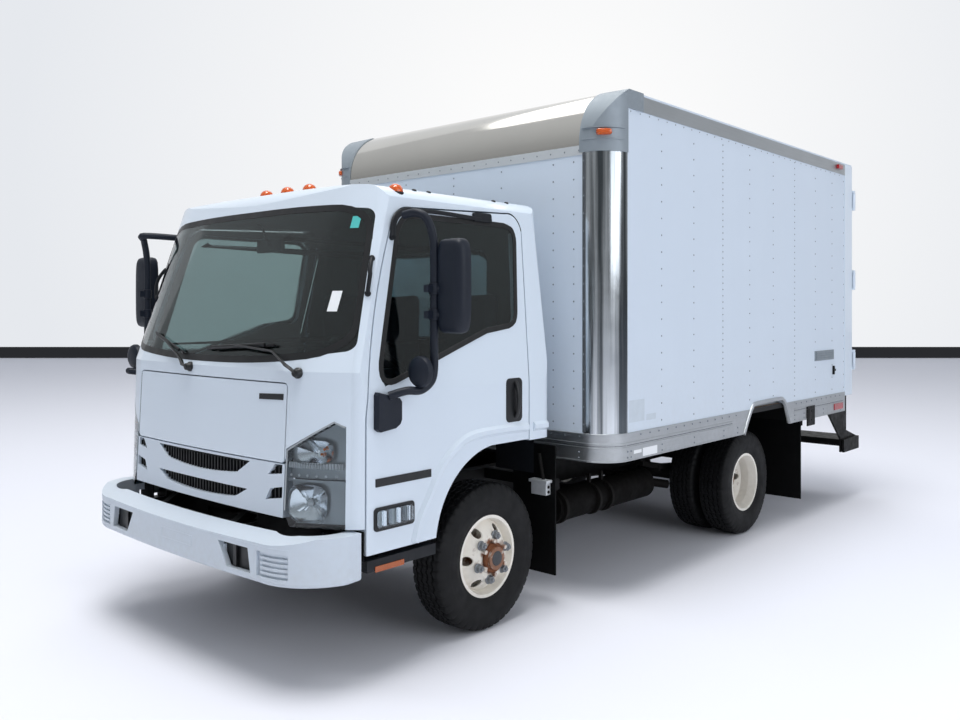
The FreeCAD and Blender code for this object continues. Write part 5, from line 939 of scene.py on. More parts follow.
def add_bowl(work, hand, x, z, wide, high, deep, tone, facets=0):
    """A reflector bowl, open to the front, whose rim lies just behind the cover."""
    middle = lamp_depth(hand * x, z, 5)
    rings = []
    for level in range(7):
        share = level / 6
        size = math.cos(share * math.pi / 2.15)
        ring = []
        for n in range(28):
            a = 2 * math.pi * n / 28
            across = squarish(math.cos(a), 0.6) * wide / 2
            up = squarish(math.sin(a), 0.6) * high / 2
            rim = lamp_depth(hand * (x + across), z + up, 5) or middle
            point = middle.lerp(rim, size)
            stepped = deep * (round(share * facets) / facets if facets else share) * MM
            point.y += stepped + (facets and n % 2) * 0.003
            ring.append(point)
        rings.append(ring)
    add_ring_strip(work, rings[:3], capped=False, tone=tone if facets else 3)
    add_ring_strip(work, rings[2:], capped=False, tone=tone)
    work.faces.new([work.verts.new(p) for p in rings[-1]]).material_index = tone


for side, hand, _ in SIDES:
    work = bmesh.new()
    add_bowl(work, hand, 806, 1034, 184, 112, 30, 0)
    add_bowl(work, hand, 785, 806, 176, 168, 32, 0, facets=6)
    for n in range(20):
        add_block_at(work, lamp_depth(hand * (694 + n * 12.2), 972, 8), 4.2, 0, 8, 13, tone=1)
    for n in range(6):
        point = lamp_depth(hand * (705 + n * 40), 928, 9)
        add_lathe(work, point, (0, -1, 0), [(0, 7), (4, 6), (6, 2)], 8, tone=1)
    for x, z in ((848, 1046), (836, 1024)):
        spot = lamp_depth(hand * x, z, 14)
        add_lathe(work, spot + Vector((0, 0.02, 0)), (0, -1, 0), [(0, 4), (8, 4), (12, 6),
                  (17, 6.5), (20, 4), (21, 1)], 14, tone=2)
    spot = lamp_depth(hand * 785, 806, 14)
    add_lathe(work, spot + Vector((0, 0.02, 0)), (0, -1, 0), [(0, 16), (10, 15), (18, 9),
              (22, 2)], 16, tone=1)
    piece_of("headlamp_bowls_" + side, work, [lamp_bowl, bright_rib, bulb_amber, lamp_shroud],
             "cab")
    work = bmesh.new()
    for corners, deep in ((((682, 910), (899, 910), (898, 1166), (684, 1034)), 36),
                          (((899, 910), (940, 910), (940, 1146), (898, 1166)), 36),
                          (((712, 712), (936, 716), (936, 900), (684, 900)), 36),
                          (((684, 900), (936, 900), (936, 910), (682, 910)), 10)):
        add_lamp_sheet(work, hand, corners, deep, 0)
    piece_of("headlamp_housing_" + side, work, lamp_shroud, "cab")
    work = bmesh.new()
    outline = [at(hand * x, -1200, z) for x, z in ((683, 712), (684, 1034), (899, 1168),
                                                   (941, 1146))]
    add_skin_band(work, ["headlamps", "cab_shell"], dense(outline, 20), FROM_FRONT, 10, 1.4,
                  slant=0.3)
    piece_of("headlamp_edge_" + side, work, lamp_shroud, "cab")
print("headlamps fitted")

# %% [markdown]
# The bumper is one long moulding. Its inner openings show the towing eyes in front of black
# plates, and the outer ones are closed by ribbed white covers. A slim raised edge in the middle
# frames the number plate's place, left bare here, and a raised line runs along under the top
# edge. A ribbed black tray and black sheets beside the steps close the space behind the bumper.
# They are painted shade: dark sheets put there so that the gap over the bumper looks dark.

# %% Bumper inserts


def bumper_face(x, z, deep):
    """A point behind the bumper's front face by a depth in millimetres."""
    height = 640 if 500 < z < 625 else z
    found = cast("front_bumper", at(x, FAR_AHEAD, height), FROM_FRONT)
    return at(x, (found[0].y - FRONT_AXLE_Y) / MM + deep, z)


def add_bumper_sheet(work, corners, deep, thick, tone=0, steps=6):
    """A plate inside a bumper opening, given by four (across, height) corners."""
    rings = []
    for n in range(steps + 1):
        share = n / steps
        low = [corners[0][k] + (corners[1][k] - corners[0][k]) * share for k in (0, 1)]
        high = [corners[3][k] + (corners[2][k] - corners[3][k]) * share for k in (0, 1)]
        rings.append([bumper_face(low[0], low[1], deep), bumper_face(high[0], high[1], deep),
                      bumper_face(high[0], high[1], deep + thick),
                      bumper_face(low[0], low[1], deep + thick)])
    add_ring_strip(work, rings, tone=tone)


work = bmesh.new()
for hand in (1, -1):
    add_bumper_sheet(work, ((hand * 452, 500), (hand * 632, 500), (hand * 632, 636),
                            (hand * 388, 636)), 30, 3, 0)
    add_bumper_sheet(work, ((hand * 676, 506), (hand * 868, 506), (hand * 868, 624),
                            (hand * 674, 624)), 16, 3, 1)
    for n in range(5):
        z = 522 + n * 22
        add_bumper_sheet(work, ((hand * 700, z), (hand * 862, z), (hand * 862, z + 12),
                                (hand * 700, z + 12)), 6, 12, 1)
    add_block_at(work, bumper_face(hand * 505, 566, 20), 12, -4, 20, 50)
piece_of("bumper_inserts", work, [trim_black, moulded_white], "chassis", bevel=1.2)
work = bmesh.new()
outline = [at(x, -1400, z) for x, z in ((-94, 553), (184, 553), (184, 600), (-94, 600))]
add_skin_band(work, ["front_bumper"], dense(outline, 20, closed=True), FROM_FRONT, 5, 1.5,
              closed=True, slant=0.3)
line = [at(x, -1500, 641) for x in range(-860, 861, 20)]
add_skin_band(work, ["front_bumper"], line, FROM_FRONT, 5, 1.2, slant=0.3)
piece_of("bumper_plate_edge", work, moulded_white, "chassis")
# Painted shade: a black tray that keeps the gap behind the bumper dark.
work = bmesh.new()
add_block(work, at(-840, -1196, 500), at(840, -930, 505))
add_block(work, at(-840, -1000, 500), at(840, -994, 600))
for x in range(-800, 801, 100):
    add_block(work, at(x - 3, -1190, 505), at(x + 3, -1000, 530))
add_block(work, at(-335, -870, 480), at(335, -864, 601))
piece_of("bumper_gap_shade_tray", work, flap_rubber, "chassis")
# Painted shade: black sheets beside the steps that keep the gap behind the bumper dark.
work = bmesh.new()
for hand in (1, -1):
    add_side_block(work, hand, (600, 985), (-816, -812), (557, 606))
    add_side_block(work, hand, (850, 998), (-912, -907), (560, 688))
piece_of("step_gap_shade_sheets", work, flap_rubber, "cab")

# %% Lid strip and stickers
work = bmesh.new()
add_patch(work, ["front_lid"], [at(x, -1200, z) for x, z in (
    (470, 1250), (668, 1256), (668, 1284), (470, 1276))], FROM_FRONT, 3)
piece_of("lid_dark_strip", work, trim_black, "front_lid", bevel=0.8)
label_white = finish_of("plain_white_label", "#E9ECEE", 0.5, drift=0.03)
label_teal = finish_of("plain_teal_label", "#4FB9B5", 0.45, drift=0.05)
work = bmesh.new()
add_patch(work, ["cab_glass"], [at(x, -1000, z) for x, z in (
    (786, 1655), (834, 1655), (834, 1748), (786, 1748))], FROM_FRONT, 0.6, tone=0)
add_patch(work, ["cab_glass"], [at(x, -1000, z) for x, z in (
    (786, 2040), (828, 2040), (828, 2096), (786, 2096))], FROM_FRONT, 0.6, tone=1)
piece_of("windscreen_labels", work, [label_white, label_teal], "cab", smooth=False)
print("bumper inserts, lid strip and labels placed")

# %% [markdown]
# The door glass sits in a black rubber channel, 30 mm wide all round. Its line is found in the
# same way as the windscreen's border, from the side.

# %% Door window channels
seal_rubber = finish_of("window_seal_rubber", "#090A0B", 0.55, drift=0.1, relief=0.1, relief_mm=2)
for side, hand, inward in SIDES:
    path, normals = glass_loop(at(hand * 950, -420, 1790), Vector((0, 1, 0)), inward,
                               "door_glass_" + side, "door_" + side, 2, count=180)
    work = bmesh.new()
    add_band(work, path, normals, 30, 3, sink=1, closed=True, slant=0.2)
    piece_of("window_channel_" + side, work, seal_rubber, "door_" + side)
print("door windows sealed")

# %% [markdown]
# The door's own details: a tall black handle in front of a black plate, a dark side strip and a
# clear cornering lamp in a black surround. A rolled crease follows the arch over the wheel.

# %% Door details


def side_points(hand, places, x=1200):
    """Points beside the truck, from (behind, height) pairs in millimetres."""
    return [at(hand * x, y, z) for y, z in places]


def add_side_patch(work, names, hand, places, height, **more):
    """A thin raised panel on one side of the truck, from (behind, height) pairs."""
    add_patch(work, names, side_points(hand, places), Vector((-hand, 0, 0)), height, **more)


def round_box(y_low, y_high, z_low, z_high, radius, steps=4):
    """The (behind, height) outline of a rounded rectangle."""
    places = []
    y_low, y_high, z_low, z_high = (y_low + radius, y_high - radius, z_low + radius,
                                    z_high - radius)
    for y, z, start in ((y_high, z_high, 0), (y_low, z_high, 90), (y_low, z_low, 180),
                        (y_high, z_low, 270)):
        for n in range(steps + 1):
            a = math.radians(start + 90 * n / steps)
            places.append((y + radius * math.cos(a), z + radius * math.sin(a)))
    return places


for side, hand, inward in SIDES:
    door = ["door_" + side]
    work = bmesh.new()
    add_side_patch(work, door, hand, round_box(47, 178, 1076, 1305, 26), 2, step=12)
    path, normals = on_skin(door, side_points(hand, [
        (126, 1285), (126, 1250), (126, 1190), (126, 1130), (126, 1100)]), inward)
    lift = [p + n * h * MM for p, n, h in zip(path, normals, (2, 16, 22, 16, 2))]
    add_tube(work, smooth_path(lift), 13, 10, flat=0.7)
    add_side_patch(work, door, hand, [(-847, 875), (-501, 875), (-501, 912), (-847, 912)], 4,
                   step=15)
    add_side_patch(work, door, hand, round_box(-858, -612, 678, 784, 18), 6, step=12)
    piece_of("door_trims_" + side, work, trim_black, "door_" + side, bevel=1.0)
    work = bmesh.new()
    add_side_patch(work, door, hand, round_box(-844, -626, 692, 770, 12), 13, sink=-11, step=12)
    piece_of("cornering_lamp_" + side, work, thin_cover, "door_" + side)
    work = bmesh.new()
    add_side_patch(work, door, hand, round_box(-842, -628, 694, 768, 12), 7, sink=-5, step=12)
    for y, wide, high, tone in ((-822, 14, 3, 1), (-786, 40, 2, 0), (-742, 26, 3.5, 1),
                                (-700, 34, 2, 0), (-664, 10, 4, 1), (-645, 12, 2, 0)):
        path, normals = on_skin(door, side_points(hand, [(y, 698), (y, 731), (y, 764)]), inward)
        lift = [p + n * 6.8 * MM for p, n in zip(path, normals)]
        add_band(work, lift, normals, wide, high, sink=0, slant=0.6, tone=tone)
    piece_of("cornering_lamp_ribs_" + side, work, [lamp_bowl, lamp_shroud], "door_" + side)
print("door trims placed")

# %% Arch crease
CREASE = [(-610, 570), (-572, 683), (-506, 789), (-439, 898), (-356, 974), (-227, 1033),
          (0, 1044), (200, 1039), (262, 1037)]
CREASE_REAR = [(274, 1037), (310, 1036), (350, 1034), (390, 1033), (430, 1032), (470, 1031)]
for side, hand, inward in SIDES:
    door = "door_" + side
    work = bmesh.new()
    add_skin_band(work, [door], smooth_path(side_points(hand, CREASE), steps=5), inward, 56, 15,
                  sink=1.5, slant=0.62)
    piece_of("arch_crease_" + side, work, enamel, door)
    work = bmesh.new()
    add_skin_band(work, ["cab_shell"], side_points(hand, CREASE_REAR), inward, 56, 15, sink=1.5,
                  slant=0.62)
    piece_of("arch_crease_rear_" + side, work, enamel, "cab")
print("arch creases rolled")

# %% [markdown]
# The mirror arm is braced by a black bar that runs back above the window, with a bracket at
# each end, and a grab handle is screwed on the windscreen pillar. The mirror's glass is silvered
# and faces the rear.

# %% Mirror body
mirror_plastic = finish_of("blue_black_mirror_plastic", "#0F1724", 0.5, drift=0.08, dull=0.06,
                           relief=0.12, relief_mm=1.4, ior=1.4)


def mirror_ring(hand, behind, inset, lead):
    """One upright outline of the mirror head, a rounded box that narrows at both ends."""
    ring = []
    for n in range(44):
        a = 2 * math.pi * n / 44
        up = squarish(math.sin(a), 0.3)
        across = squarish(math.cos(a), 0.3)
        wide = (87 - inset) * (1 - 0.1 * abs(up) ** 3)
        ring.append(at(hand * (1205 + across * wide), behind + lead, 1770 + up * (215 - inset)))
    return ring


def add_mirror(work, hand, lead):
    """A mirror head on a thick bent arm, with clamps, a round spot mirror and a cast foot."""
    add_ring_strip(work, [mirror_ring(hand, -560 + y, inset, lead) for y, inset in (
        (-39, 60), (-38, 34), (-33, 16), (-24, 6), (-10, 1), (14, 0), (32, 3), (38, 9))])
    ends = [(990, -660, 2098), (1060, -650, 2104), (1103, -628, 2078), (1120, -604, 2000)]
    run = [(1122, -597, 1900), (1122, -597, 1700), (1122, -597, 1500), (1122, -598, 1390),
           (1118, -615, 1335), (1105, -665, 1300), (1080, -730, 1300)]
    path = [at(hand * x, y + lead * (n > 0), z) for n, (x, y, z) in enumerate(ends + run)]
    path.append(at(hand * 1030, -790, 1278))
    add_tube(work, smooth_path(path, steps=5), 19, 14)
    for z in (1758, 1640):
        add_lathe(work, at(hand * 1122, -597 + lead, z - 26), (0, 0, 1),
                  [(0, 20), (2, 25), (50, 25), (52, 20)], 16)
        add_block_at(work, at(hand * 1122, -625 + lead, z), 14, -25, 25, 17)
        add_tube(work, [at(hand * 1122, -597 + lead, z), at(hand * 1170, -575 + lead, z)], 15, 10)
    add_lathe(work, at(hand * 1116, -700 + lead, 1384), (0, 1, 0),
              [(-4, 30), (0, 52), (8, 66), (18, 71), (34, 71), (37, 66)], 32)
    add_tube(work, [at(hand * 1116, -680 + lead, 1370), at(hand * 1112, -650 + lead, 1306)], 14, 10)
    outline = [(-857, 1284), (-848, 1297), (-724, 1264), (-713, 1250), (-713, 1166), (-722, 1146),
               (-748, 1130), (-838, 1120), (-857, 1134)]
    rings = [[at(hand * x, -785 + (y + 785) * share, 1205 + (z - 1205) * share)
              for y, z in outline] for x, share in ((996, 1), (1032, 1), (1038, 0.95))]
    add_ring_strip(work, rings)


print("mirror helper ready")

# %% Mirror parts and pillar handle
mirror_glass = finish_of("silvered_mirror_glass", "#DDE3E6", 0.02, metal=1.0, drift=0.01,
                         dull=0.01)
for side, hand, inward in SIDES:
    arm = "mirror_" + side
    door = "door_" + side
    head = [p for p in points_of(arm) if abs(p.x) > 1.13 and p.z > 1.54]
    back_y = (max(p.y for p in head) - FRONT_AXLE_Y) / MM
    work = bmesh.new()
    for heights in ((1585, 1790), (1806, 1955)):
        add_side_block(work, hand, (1140, 1270), (back_y - 2, back_y + 1.5), heights)
    piece_of("mirror_glass_" + side, work, mirror_glass, door)
    lead = (back_y + 521) if hand < 0 else 0
    work = bmesh.new()
    add_mirror(work, hand, lead)
    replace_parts(piece_of("mirror_body_" + side, work, mirror_plastic, door), arm)
    work = bmesh.new()
    brace = smooth_path(side_points(hand, [(-682, 2000), (-672, 2060), (-640, 2104), (-580, 2128),
                                           (-500, 2134), (-340, 2136), (-60, 2126)], 985))
    path, normals = on_skin([door, "cab_shell"], brace, inward)
    lifted = [p + n * 12 * MM for p, n in zip(path, normals)]
    thick = len(lifted) * 4 // 7
    add_tube(work, lifted, [17] * thick + [11] * (len(lifted) - thick), 10, flat=0.6)
    for bracket in ((-110, 24, 2102, 2160), (-696, -664, 1984, 2020)):
        add_side_patch(work, [door, "cab_shell"], hand, round_box(*bracket, 12), 16, step=12)
    piece_of("mirror_brace_" + side, work, black_moulding, door, bevel=1.0)
    work = bmesh.new()
    pillar = side_points(hand, [(-795, 1895), (-815, 1815), (-838, 1735)], 1100)
    path, normals = on_skin(["cab_shell"], dense(pillar, 20), inward)
    count = len(path)
    lift = [p + n * (6 + 22 * math.sin(math.pi * k / (count - 1))) * MM
            for k, (p, n) in enumerate(zip(path, normals))]
    add_tube(work, lift, 10, 10)
    for end in (path[0], path[-1]):
        add_lathe(work, end, normals[0], [(-2, 15), (8, 14), (12, 9)], 14)
    piece_of("pillar_handle_" + side, work, black_moulding, "cab")
print("mirror parts placed")

# %% [markdown]
# Along the drip edge of the roof sit black plugs where a rack could be bolted, and each amber
# roof lamp stands on a black foot. The black step below the door carries an amber lamp.

# %% Roof plugs, lamp feet and step lamps
work = bmesh.new()
for hand in (1, -1):
    for y in (-457, -358, 131, 238):
        seat = cast("cab_shell", at(hand * 845, y, 3000), (0, 0, -1))
        if seat:
            add_lathe(work, seat[0], seat[1], [(-4, 13), (4, 12), (7, 7)], 12)
spots = points_of("roof_lamps")
feet = []
for x in (0, 193, -193, 855, -855):
    near = [p for p in spots if abs(p.x - x * MM) < 0.05]
    mid_y = (min(p.y for p in near) + max(p.y for p in near)) / 2
    foot = Vector((x * MM, mid_y, min(p.z for p in near)))
    feet.append(foot)
    add_lathe(work, foot, (0, 0, 1), [(-2, 42), (12, 41), (14, 38)], 24)
piece_of("roof_plugs_and_feet", work, black_moulding, "cab")
work = bmesh.new()
for foot in feet:
    add_lathe(work, foot, (0, 0, 1), [(10, 37), (18, 38), (32, 35), (44, 27), (52, 14), (54, 4)],
              28)
domes = piece_of("roof_lamp_domes", work, amber_lens, "cab")
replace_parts(domes, "roof_lamps")
step_amber = finish_of("dark_amber_lens", "#A4501A", 0.3, drift=0.15, drift_mm=40, coat=0.3)
for side, hand, inward in SIDES:
    work = bmesh.new()
    face, _ = cast("cab_steps", at(hand * 1400, -760, 530), inward)
    outside = abs(face.x) / MM
    add_side_block(work, hand, (outside, outside + 4), (-850, -676), (499, 525))
    piece_of("step_lamp_" + side, work, step_amber, "chassis", bevel=1)
print("roof and step lamps placed")

# %% [markdown]
# The box is skinned with sheets riveted to upright posts about 400 mm apart. Where two sheets
# meet, the rivets stand more than twice as close. Each rivet head is a low dome 9 mm across,
# drawn at 12 mm so that it still reads at this distance.

# %% Rivets
rivet_metal = finish_of("dull_rivet_metal", "#7D858C", 0.45, metal=0.5, drift=0.2, drift_mm=40)


def add_rivet(work, place, normal, radius=6.0, tone=0):
    """A low dome on a skin."""
    side, up = frame_at(normal)
    rim = [work.verts.new(p) for p in circle(place - normal * MM, side, up, radius, 8)]
    high = [work.verts.new(p) for p in circle(place + normal * radius * 0.42 * MM, side, up,
                                              radius * 0.62, 8)]
    for n in range(8):
        m = (n + 1) % 8
        work.faces.new((rim[n], rim[m], high[m], high[n])).material_index = tone
    work.faces.new(high).material_index = tone


SIDE_SKIN = 1219
RAIL_SKIN = 1223
SIDE_COLUMNS = [(1243, 101), (1640, 101), (2038, 42), (2444, 101), (2836, 101), (3227, 46),
                (3638, 101), (3998, 101), (4262, 110)]
for side, hand, inward in SIDES:
    work = bmesh.new()
    out = -inward
    for y, pitch in SIDE_COLUMNS:
        z = 1000 if not 2340 < y < 3150 else 1030
        while z < 2800:
            add_rivet(work, at(hand * SIDE_SKIN, y, z), out)
            z += pitch
    for n in range(33):
        y = 900 + n * 102
        add_rivet(work, at(hand * SIDE_SKIN, y, 2801), out, 5)
        if not 2300 < y < 3160 and y > 940:
            add_rivet(work, at(hand * RAIL_SKIN, y, 939), out, 7)
    for y in (863, 898, 1243, 1640, 2045, 2250, 3220, 3400, 3800, 4180):
        for z in (853, 819):
            add_rivet(work, at(hand * RAIL_SKIN, y, z), out, 7)
    piece_of("side_rivets_" + side, work, rivet_metal, "chassis")
work = bmesh.new()
ahead = Vector((0, -1, 0))
for x in (-972, -825, -426, 21, 426, 825, 972):
    pitch = 50 if x == 21 else 100
    z = 1010
    while z < 2530:
        add_rivet(work, at(x, 687, z), ahead)
        z += pitch
for n in range(21):
    x = -1010 + n * 101
    add_rivet(work, at(x, 684, 2572), ahead, 6)
    for z in (940, 850, 818) if n % 4 == 0 else (940,):
        add_rivet(work, at(x, 683, z), ahead, 7)
piece_of("front_rivets", work, rivet_metal, "chassis")
print("rivets set")

# %% [markdown]
# The lower rail is one extrusion with a rolled top edge, three ribs and a dark groove that run
# round the front corners. Each follows a path that is cast onto the rail itself.

# %% Rail ribs


def rail_path(hand, z):
    """Places and directions on the rail at one height, from the front's middle to the rear."""
    front = [cast("skirt_rail", at(hand * x, -500, z), FROM_FRONT) for x in range(0, 1041, 130)]
    rays = []
    for turn in range(10, 90, 10):
        a = math.radians(turn)
        way = Vector((hand * math.sin(a), -math.cos(a), 0))
        rays.append((at(hand * 1040, 866, z) + way, way))
    rays += [(at(hand * 1500, y, z), Vector((hand, 0, 0))) for y in range(870, 4280, 130)]
    rest = [(cast("skirt_rail", start, -way), way) for start, way in rays]
    return [hit for hit in front if hit] + [(hit[0], way) for hit, way in rest if hit]


def split_path(path, from_y, to_y):
    """The two runs of a path that are left when the part over the wheel cut is taken out."""
    places = [(p.y - FRONT_AXLE_Y) / MM for p, _ in path]
    return ([one for one, behind in zip(path, places) if behind <= from_y],
            [one for one, behind in zip(path, places) if behind >= to_y])


groove_dark = finish_of("shaded_rail_groove", "#5E6266", 0.6, metal=0.6, drift=0.15)
work = bmesh.new()
for hand in (1, -1):
    for z, width, height, tone in ((954, 12, 3.5, 0), (902, 9, 3.2, 0), (889, 4, 0.8, 1),
                                   (878, 8, 2.6, 0), (802, 9, 3.0, 0)):
        for run in split_path(rail_path(hand, z), 2290, 3180):
            add_band(work, [p for p, _ in run], [n for _, n in run], width, height, sink=0.5,
                     tone=tone, slant=0.35)
piece_of("rail_ribs", work, [extruded, groove_dark], "chassis")
print("rail ribs run")

# %% Wheel-cut lip and front strip
CUT = [(2347, 797), (2410, 890), (2482, 975), (2555, 996), (2930, 1000), (3002, 989),
       (3057, 943), (3140, 803)]
for side, hand, inward in SIDES:
    work = bmesh.new()
    places = smooth_path([at(hand * 1221, y, z) for y, z in CUT], steps=4)
    add_band(work, places, [-inward] * len(places), 30, 9, sink=8, slant=0.25)
    piece_of("wheel_cut_lip_" + side, work, extruded, "chassis")
work = bmesh.new()
add_block(work, at(-1040, 683.5, 2546), at(1040, 688, 2600))
for hand in (1, -1):
    add_side_block(work, hand, (1036, 1052), (682, 692), (965, 2556), tone=1)
    for n in range(16):
        add_rivet(work, at(hand * 1044, 682, 1010 + n * 100), ahead, 6, tone=2)
piece_of("front_strips", work, [dull_strip, groove_dark, rivet_metal], "chassis")
print("lips and strips placed")

# %% [markdown]
# Small plates: two pale stickers on the rail and two on the side sheet, all left blank, a
# louvred vent, a door-holding catch, a black hanger that comes down over the rail, and a red
# reflector. The amber lamps on the front corner castings sit between grey hoods.

# %% Plates, vent, catch and reflector
faded_plate = finish_of("faded_blank_plate", "#C3CDD6", 0.55, drift=0.08, drift_mm=40)


def plate(work, hand, y0, y1, z0, z1, base, proud, tone=0):
    """A flat plate on one side of the box."""
    add_side_block(work, hand, (base - 1, base + proud), (y0, y1), (z0, z1), tone)


for side, hand, inward in SIDES:
    out = -inward
    work = bmesh.new()
    if hand > 0:
        plate(work, hand, 927, 1010, 833, 853, RAIL_SKIN, 0.8)
        plate(work, hand, 1024, 1186, 808, 856, RAIL_SKIN, 0.8)
        plate(work, hand, 883, 1048, 1015, 1142, SIDE_SKIN, 0.6, 1)
        plate(work, hand, 1069, 1177, 1013, 1049, SIDE_SKIN, 0.6, 1)
    plate(work, hand, 3625, 4030, 1250, 1330, SIDE_SKIN, 5, 2)
    for n in range(4):
        plate(work, hand, 3645, 4010, 1258 + n * 18, 1270 + n * 18, SIDE_SKIN, 11, 2)
    for y in (3634, 4021):
        for z in (1262, 1318):
            add_rivet(work, at(hand * 1224, y, z), out, 5, tone=2)
    piece_of("side_plates_" + side, work, [label_white, faded_plate, cast_grey], "chassis",
             smooth=False)
    work = bmesh.new()
    plate(work, hand, 4008, 4030, 1123, 1195, SIDE_SKIN, 14)
    plate(work, hand, 4030, 4066, 1150, 1168, SIDE_SKIN, 9)
    plate(work, hand, 3452, 3606, 745, 900, RAIL_SKIN, 7)
    plate(work, hand, 3480, 3578, 770, 880, RAIL_SKIN, 10)
    for z in (790, 860):
        add_rivet(work, at(hand * 1233, 3529, z), out, 9)
    piece_of("side_catch_" + side, work, chassis_black, "chassis", bevel=1.5)
    work = bmesh.new()
    plate(work, hand, 4030, 4230, 822, 876, RAIL_SKIN, 6)
    piece_of("side_reflector_" + side, work, red_lens, "chassis", bevel=2)
print("side plates placed")

# %% Marker and tail lamps
work = bmesh.new()
for hand in (1, -1):
    plate(work, hand, 4096, 4182, 2852, 2886, RAIL_SKIN, 20, 1)
    front = Vector((hand * 0.64, -0.77, 0)).normalized()
    across = Vector((0, 0, 1)).cross(front)
    seat, _ = on_skin(["corner_caps"], [at(hand * 1156, 722, 2666)], -front)
    rings = []
    for out_mm, size in ((-4, 1), (9, 1), (17, 0.9), (21, 0.7)):
        ring = []
        for n in range(24):
            a = 2 * math.pi * n / 24
            wide = squarish(math.cos(a), 0.5) * 45 * size
            up = squarish(math.sin(a), 0.5) * 18 * size
            ring.append(seat[0] + (front * out_mm + across * wide + Vector((0, 0, up))) * MM)
        rings.append(ring)
    add_ring_strip(work, rings)
    add_side_block(work, hand, (1156, 1197), (4452, 4479), (970, 1129), tone=1)
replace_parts(piece_of("marker_and_tail_lamps", work, [amber_lens, red_lens], "chassis", bevel=3),
            "marker_lamps")
work = bmesh.new()
for hand in (1, -1):
    front = Vector((hand * 0.64, -0.77, 0)).normalized()
    for z, reach in ((2694, 0.066), (2630, 0.09)):
        line = []
        for n in range(9):
            turn = (n - 4) * 0.1 * reach / 0.066
            way = Matrix.Rotation(turn, 3, "Z") @ front
            line.append((at(hand * 1156, 722, z) - front * 0.3 * (1 - abs(n - 4) / 40), way))
        path, faces = on_skin(["corner_caps"], [p + way * 0.3 for p, way in line], -front)
        add_band(work, path, faces, 12, 11 if z > 2660 else 4, sink=2, slant=0.5)
piece_of("cap_lamp_hoods", work, cast_grey, "chassis")
print("lamps fitted")

# %% [markdown]
# The rear doors are closed by upright lock rods with cams at both ends and a swing handle, and
# hang on four strap hinges each. A rubber seal runs round each leaf.

# %% Rear door hardware
zinc_plate = finish_of("zinc_plated_steel", "#AEB3B5", 0.36, metal=1.0, drift=0.15, drift_mm=40,
                       dull=0.12, dull_mm=20)
REAR_FACE = 4456
for side, hand, inward in SIDES:
    door = "rear_door_" + side
    work = bmesh.new()
    for x in (190, 1010):
        add_tube(work, [at(hand * x, REAR_FACE + 17, z) for z in (1020, 2760)], 12, 12)
        for z in (1060, 1420, 1890, 2360, 2720):
            add_block_at(work, at(hand * x, REAR_FACE, z), 30, 0, 6, 28)
            add_block_at(work, at(hand * x, REAR_FACE, z), 20, 4, 30, 20)
        for z in (1022, 2758):
            add_block_at(work, at(hand * x, REAR_FACE + 6, z), 28, 0, 24, 14)
    arm = [at(hand * x, REAR_FACE + y, z) for x, y, z in (
        (190, 24, 1300), (290, 26, 1300), (420, 25, 1290), (520, 22, 1285))]
    add_tube(work, smooth_path(arm), 11, 10, flat=0.6)
    add_block_at(work, at(hand * 420, REAR_FACE, 1288), 50, 0, 12, 35)
    for z in (1130, 1600, 2180, 2650):
        add_block_at(work, at(hand * 1130, REAR_FACE, z), 90, 0, 6, 28)
        for x in (-70, -35, 0, 35):
            add_rivet(work, at(hand * 1130 + x, REAR_FACE + 6, z), Vector((0, 1, 0)), 8)
    piece_of("lock_gear_" + side, work, zinc_plate, door, bevel=1.0)
    work = bmesh.new()
    loop = [at(hand * x, REAR_FACE, z) for x, z in ((26, 1015), (1128, 1015), (1128, 2768),
                                                    (26, 2768))]
    path = dense(loop, 100, closed=True)
    add_band(work, path, [Vector((0, 1, 0))] * len(path), 18, 5, sink=1, closed=True, slant=0.3)
    piece_of("leaf_seal_" + side, work, seal_rubber, door)
print("rear door hardware placed")

# %% [markdown]
# Inside, the load space is lined as such boxes are. A galvanised plate stands on the floor along
# each side against scuffs, a thin post stands behind each row of rivets, and two pine rails run
# along the posts for tying loads.

# %% Load space lining
scuff_sheet = finish_of("galvanised_scuff_plate", "#A9AEB1", 0.45, metal=0.6, drift=0.12,
                        dull=0.1)
tie_board = finish_of("pine_tie_rail", "#B08D5F", 0.65, drift=0.15, drift_mm=60,
                      stretch=(1, 0.05, 3))


def line_wall(work, hand, depths, along, heights, tone):
    """A board or post on a side sheet's inner face, between two depths from it."""
    face = abs(cast("cargo_sides", at(0, 2000, 1500), (hand, 0, 0))[0].x) / MM
    add_side_block(work, hand, [face - depth for depth in depths], along, heights, tone)


deck = cast("cargo_floor", at(0, 2000, 1500), (0, 0, -1))[0].z / MM
head = cast("cargo_roof", at(1150, 2000, 1500), (0, 0, 1))[0].z / MM
work = bmesh.new()
for hand in (1, -1):
    line_wall(work, hand, (0.5, 3), (930, 4200), (deck + 1, deck + 250), 0)
    for y, _ in SIDE_COLUMNS[:-1]:
        line_wall(work, hand, (0.5, 22), (y - 20, y + 20), (deck + 250, head - 12), 0)
    for z in (1480, 2080):
        line_wall(work, hand, (22, 42), (930, 4200), (z, z + 90), 1)
piece_of("load_space_lining", work, [scuff_sheet, tie_board], "chassis", bevel=1)
print("load space lined from", round(deck), "to", round(head))

# %% [markdown]
# The cab's seats are foam under woven cloth: a driver's seat and a bench for two. Each pad
# starts as a rounded block a little smaller than the real one. The cloth solver blows it up
# with air pressure, which gives the crown and pulls the sides in between the corners, and a cap
# on each point's travel keeps the pad's size. The sewn channels come after.

# %% Seats
PAD_SHRINK = 16
PAD_CAP = 24
PAD_ROUND = 40
SEAM_DIP = 7
AIR_STEPS = 20


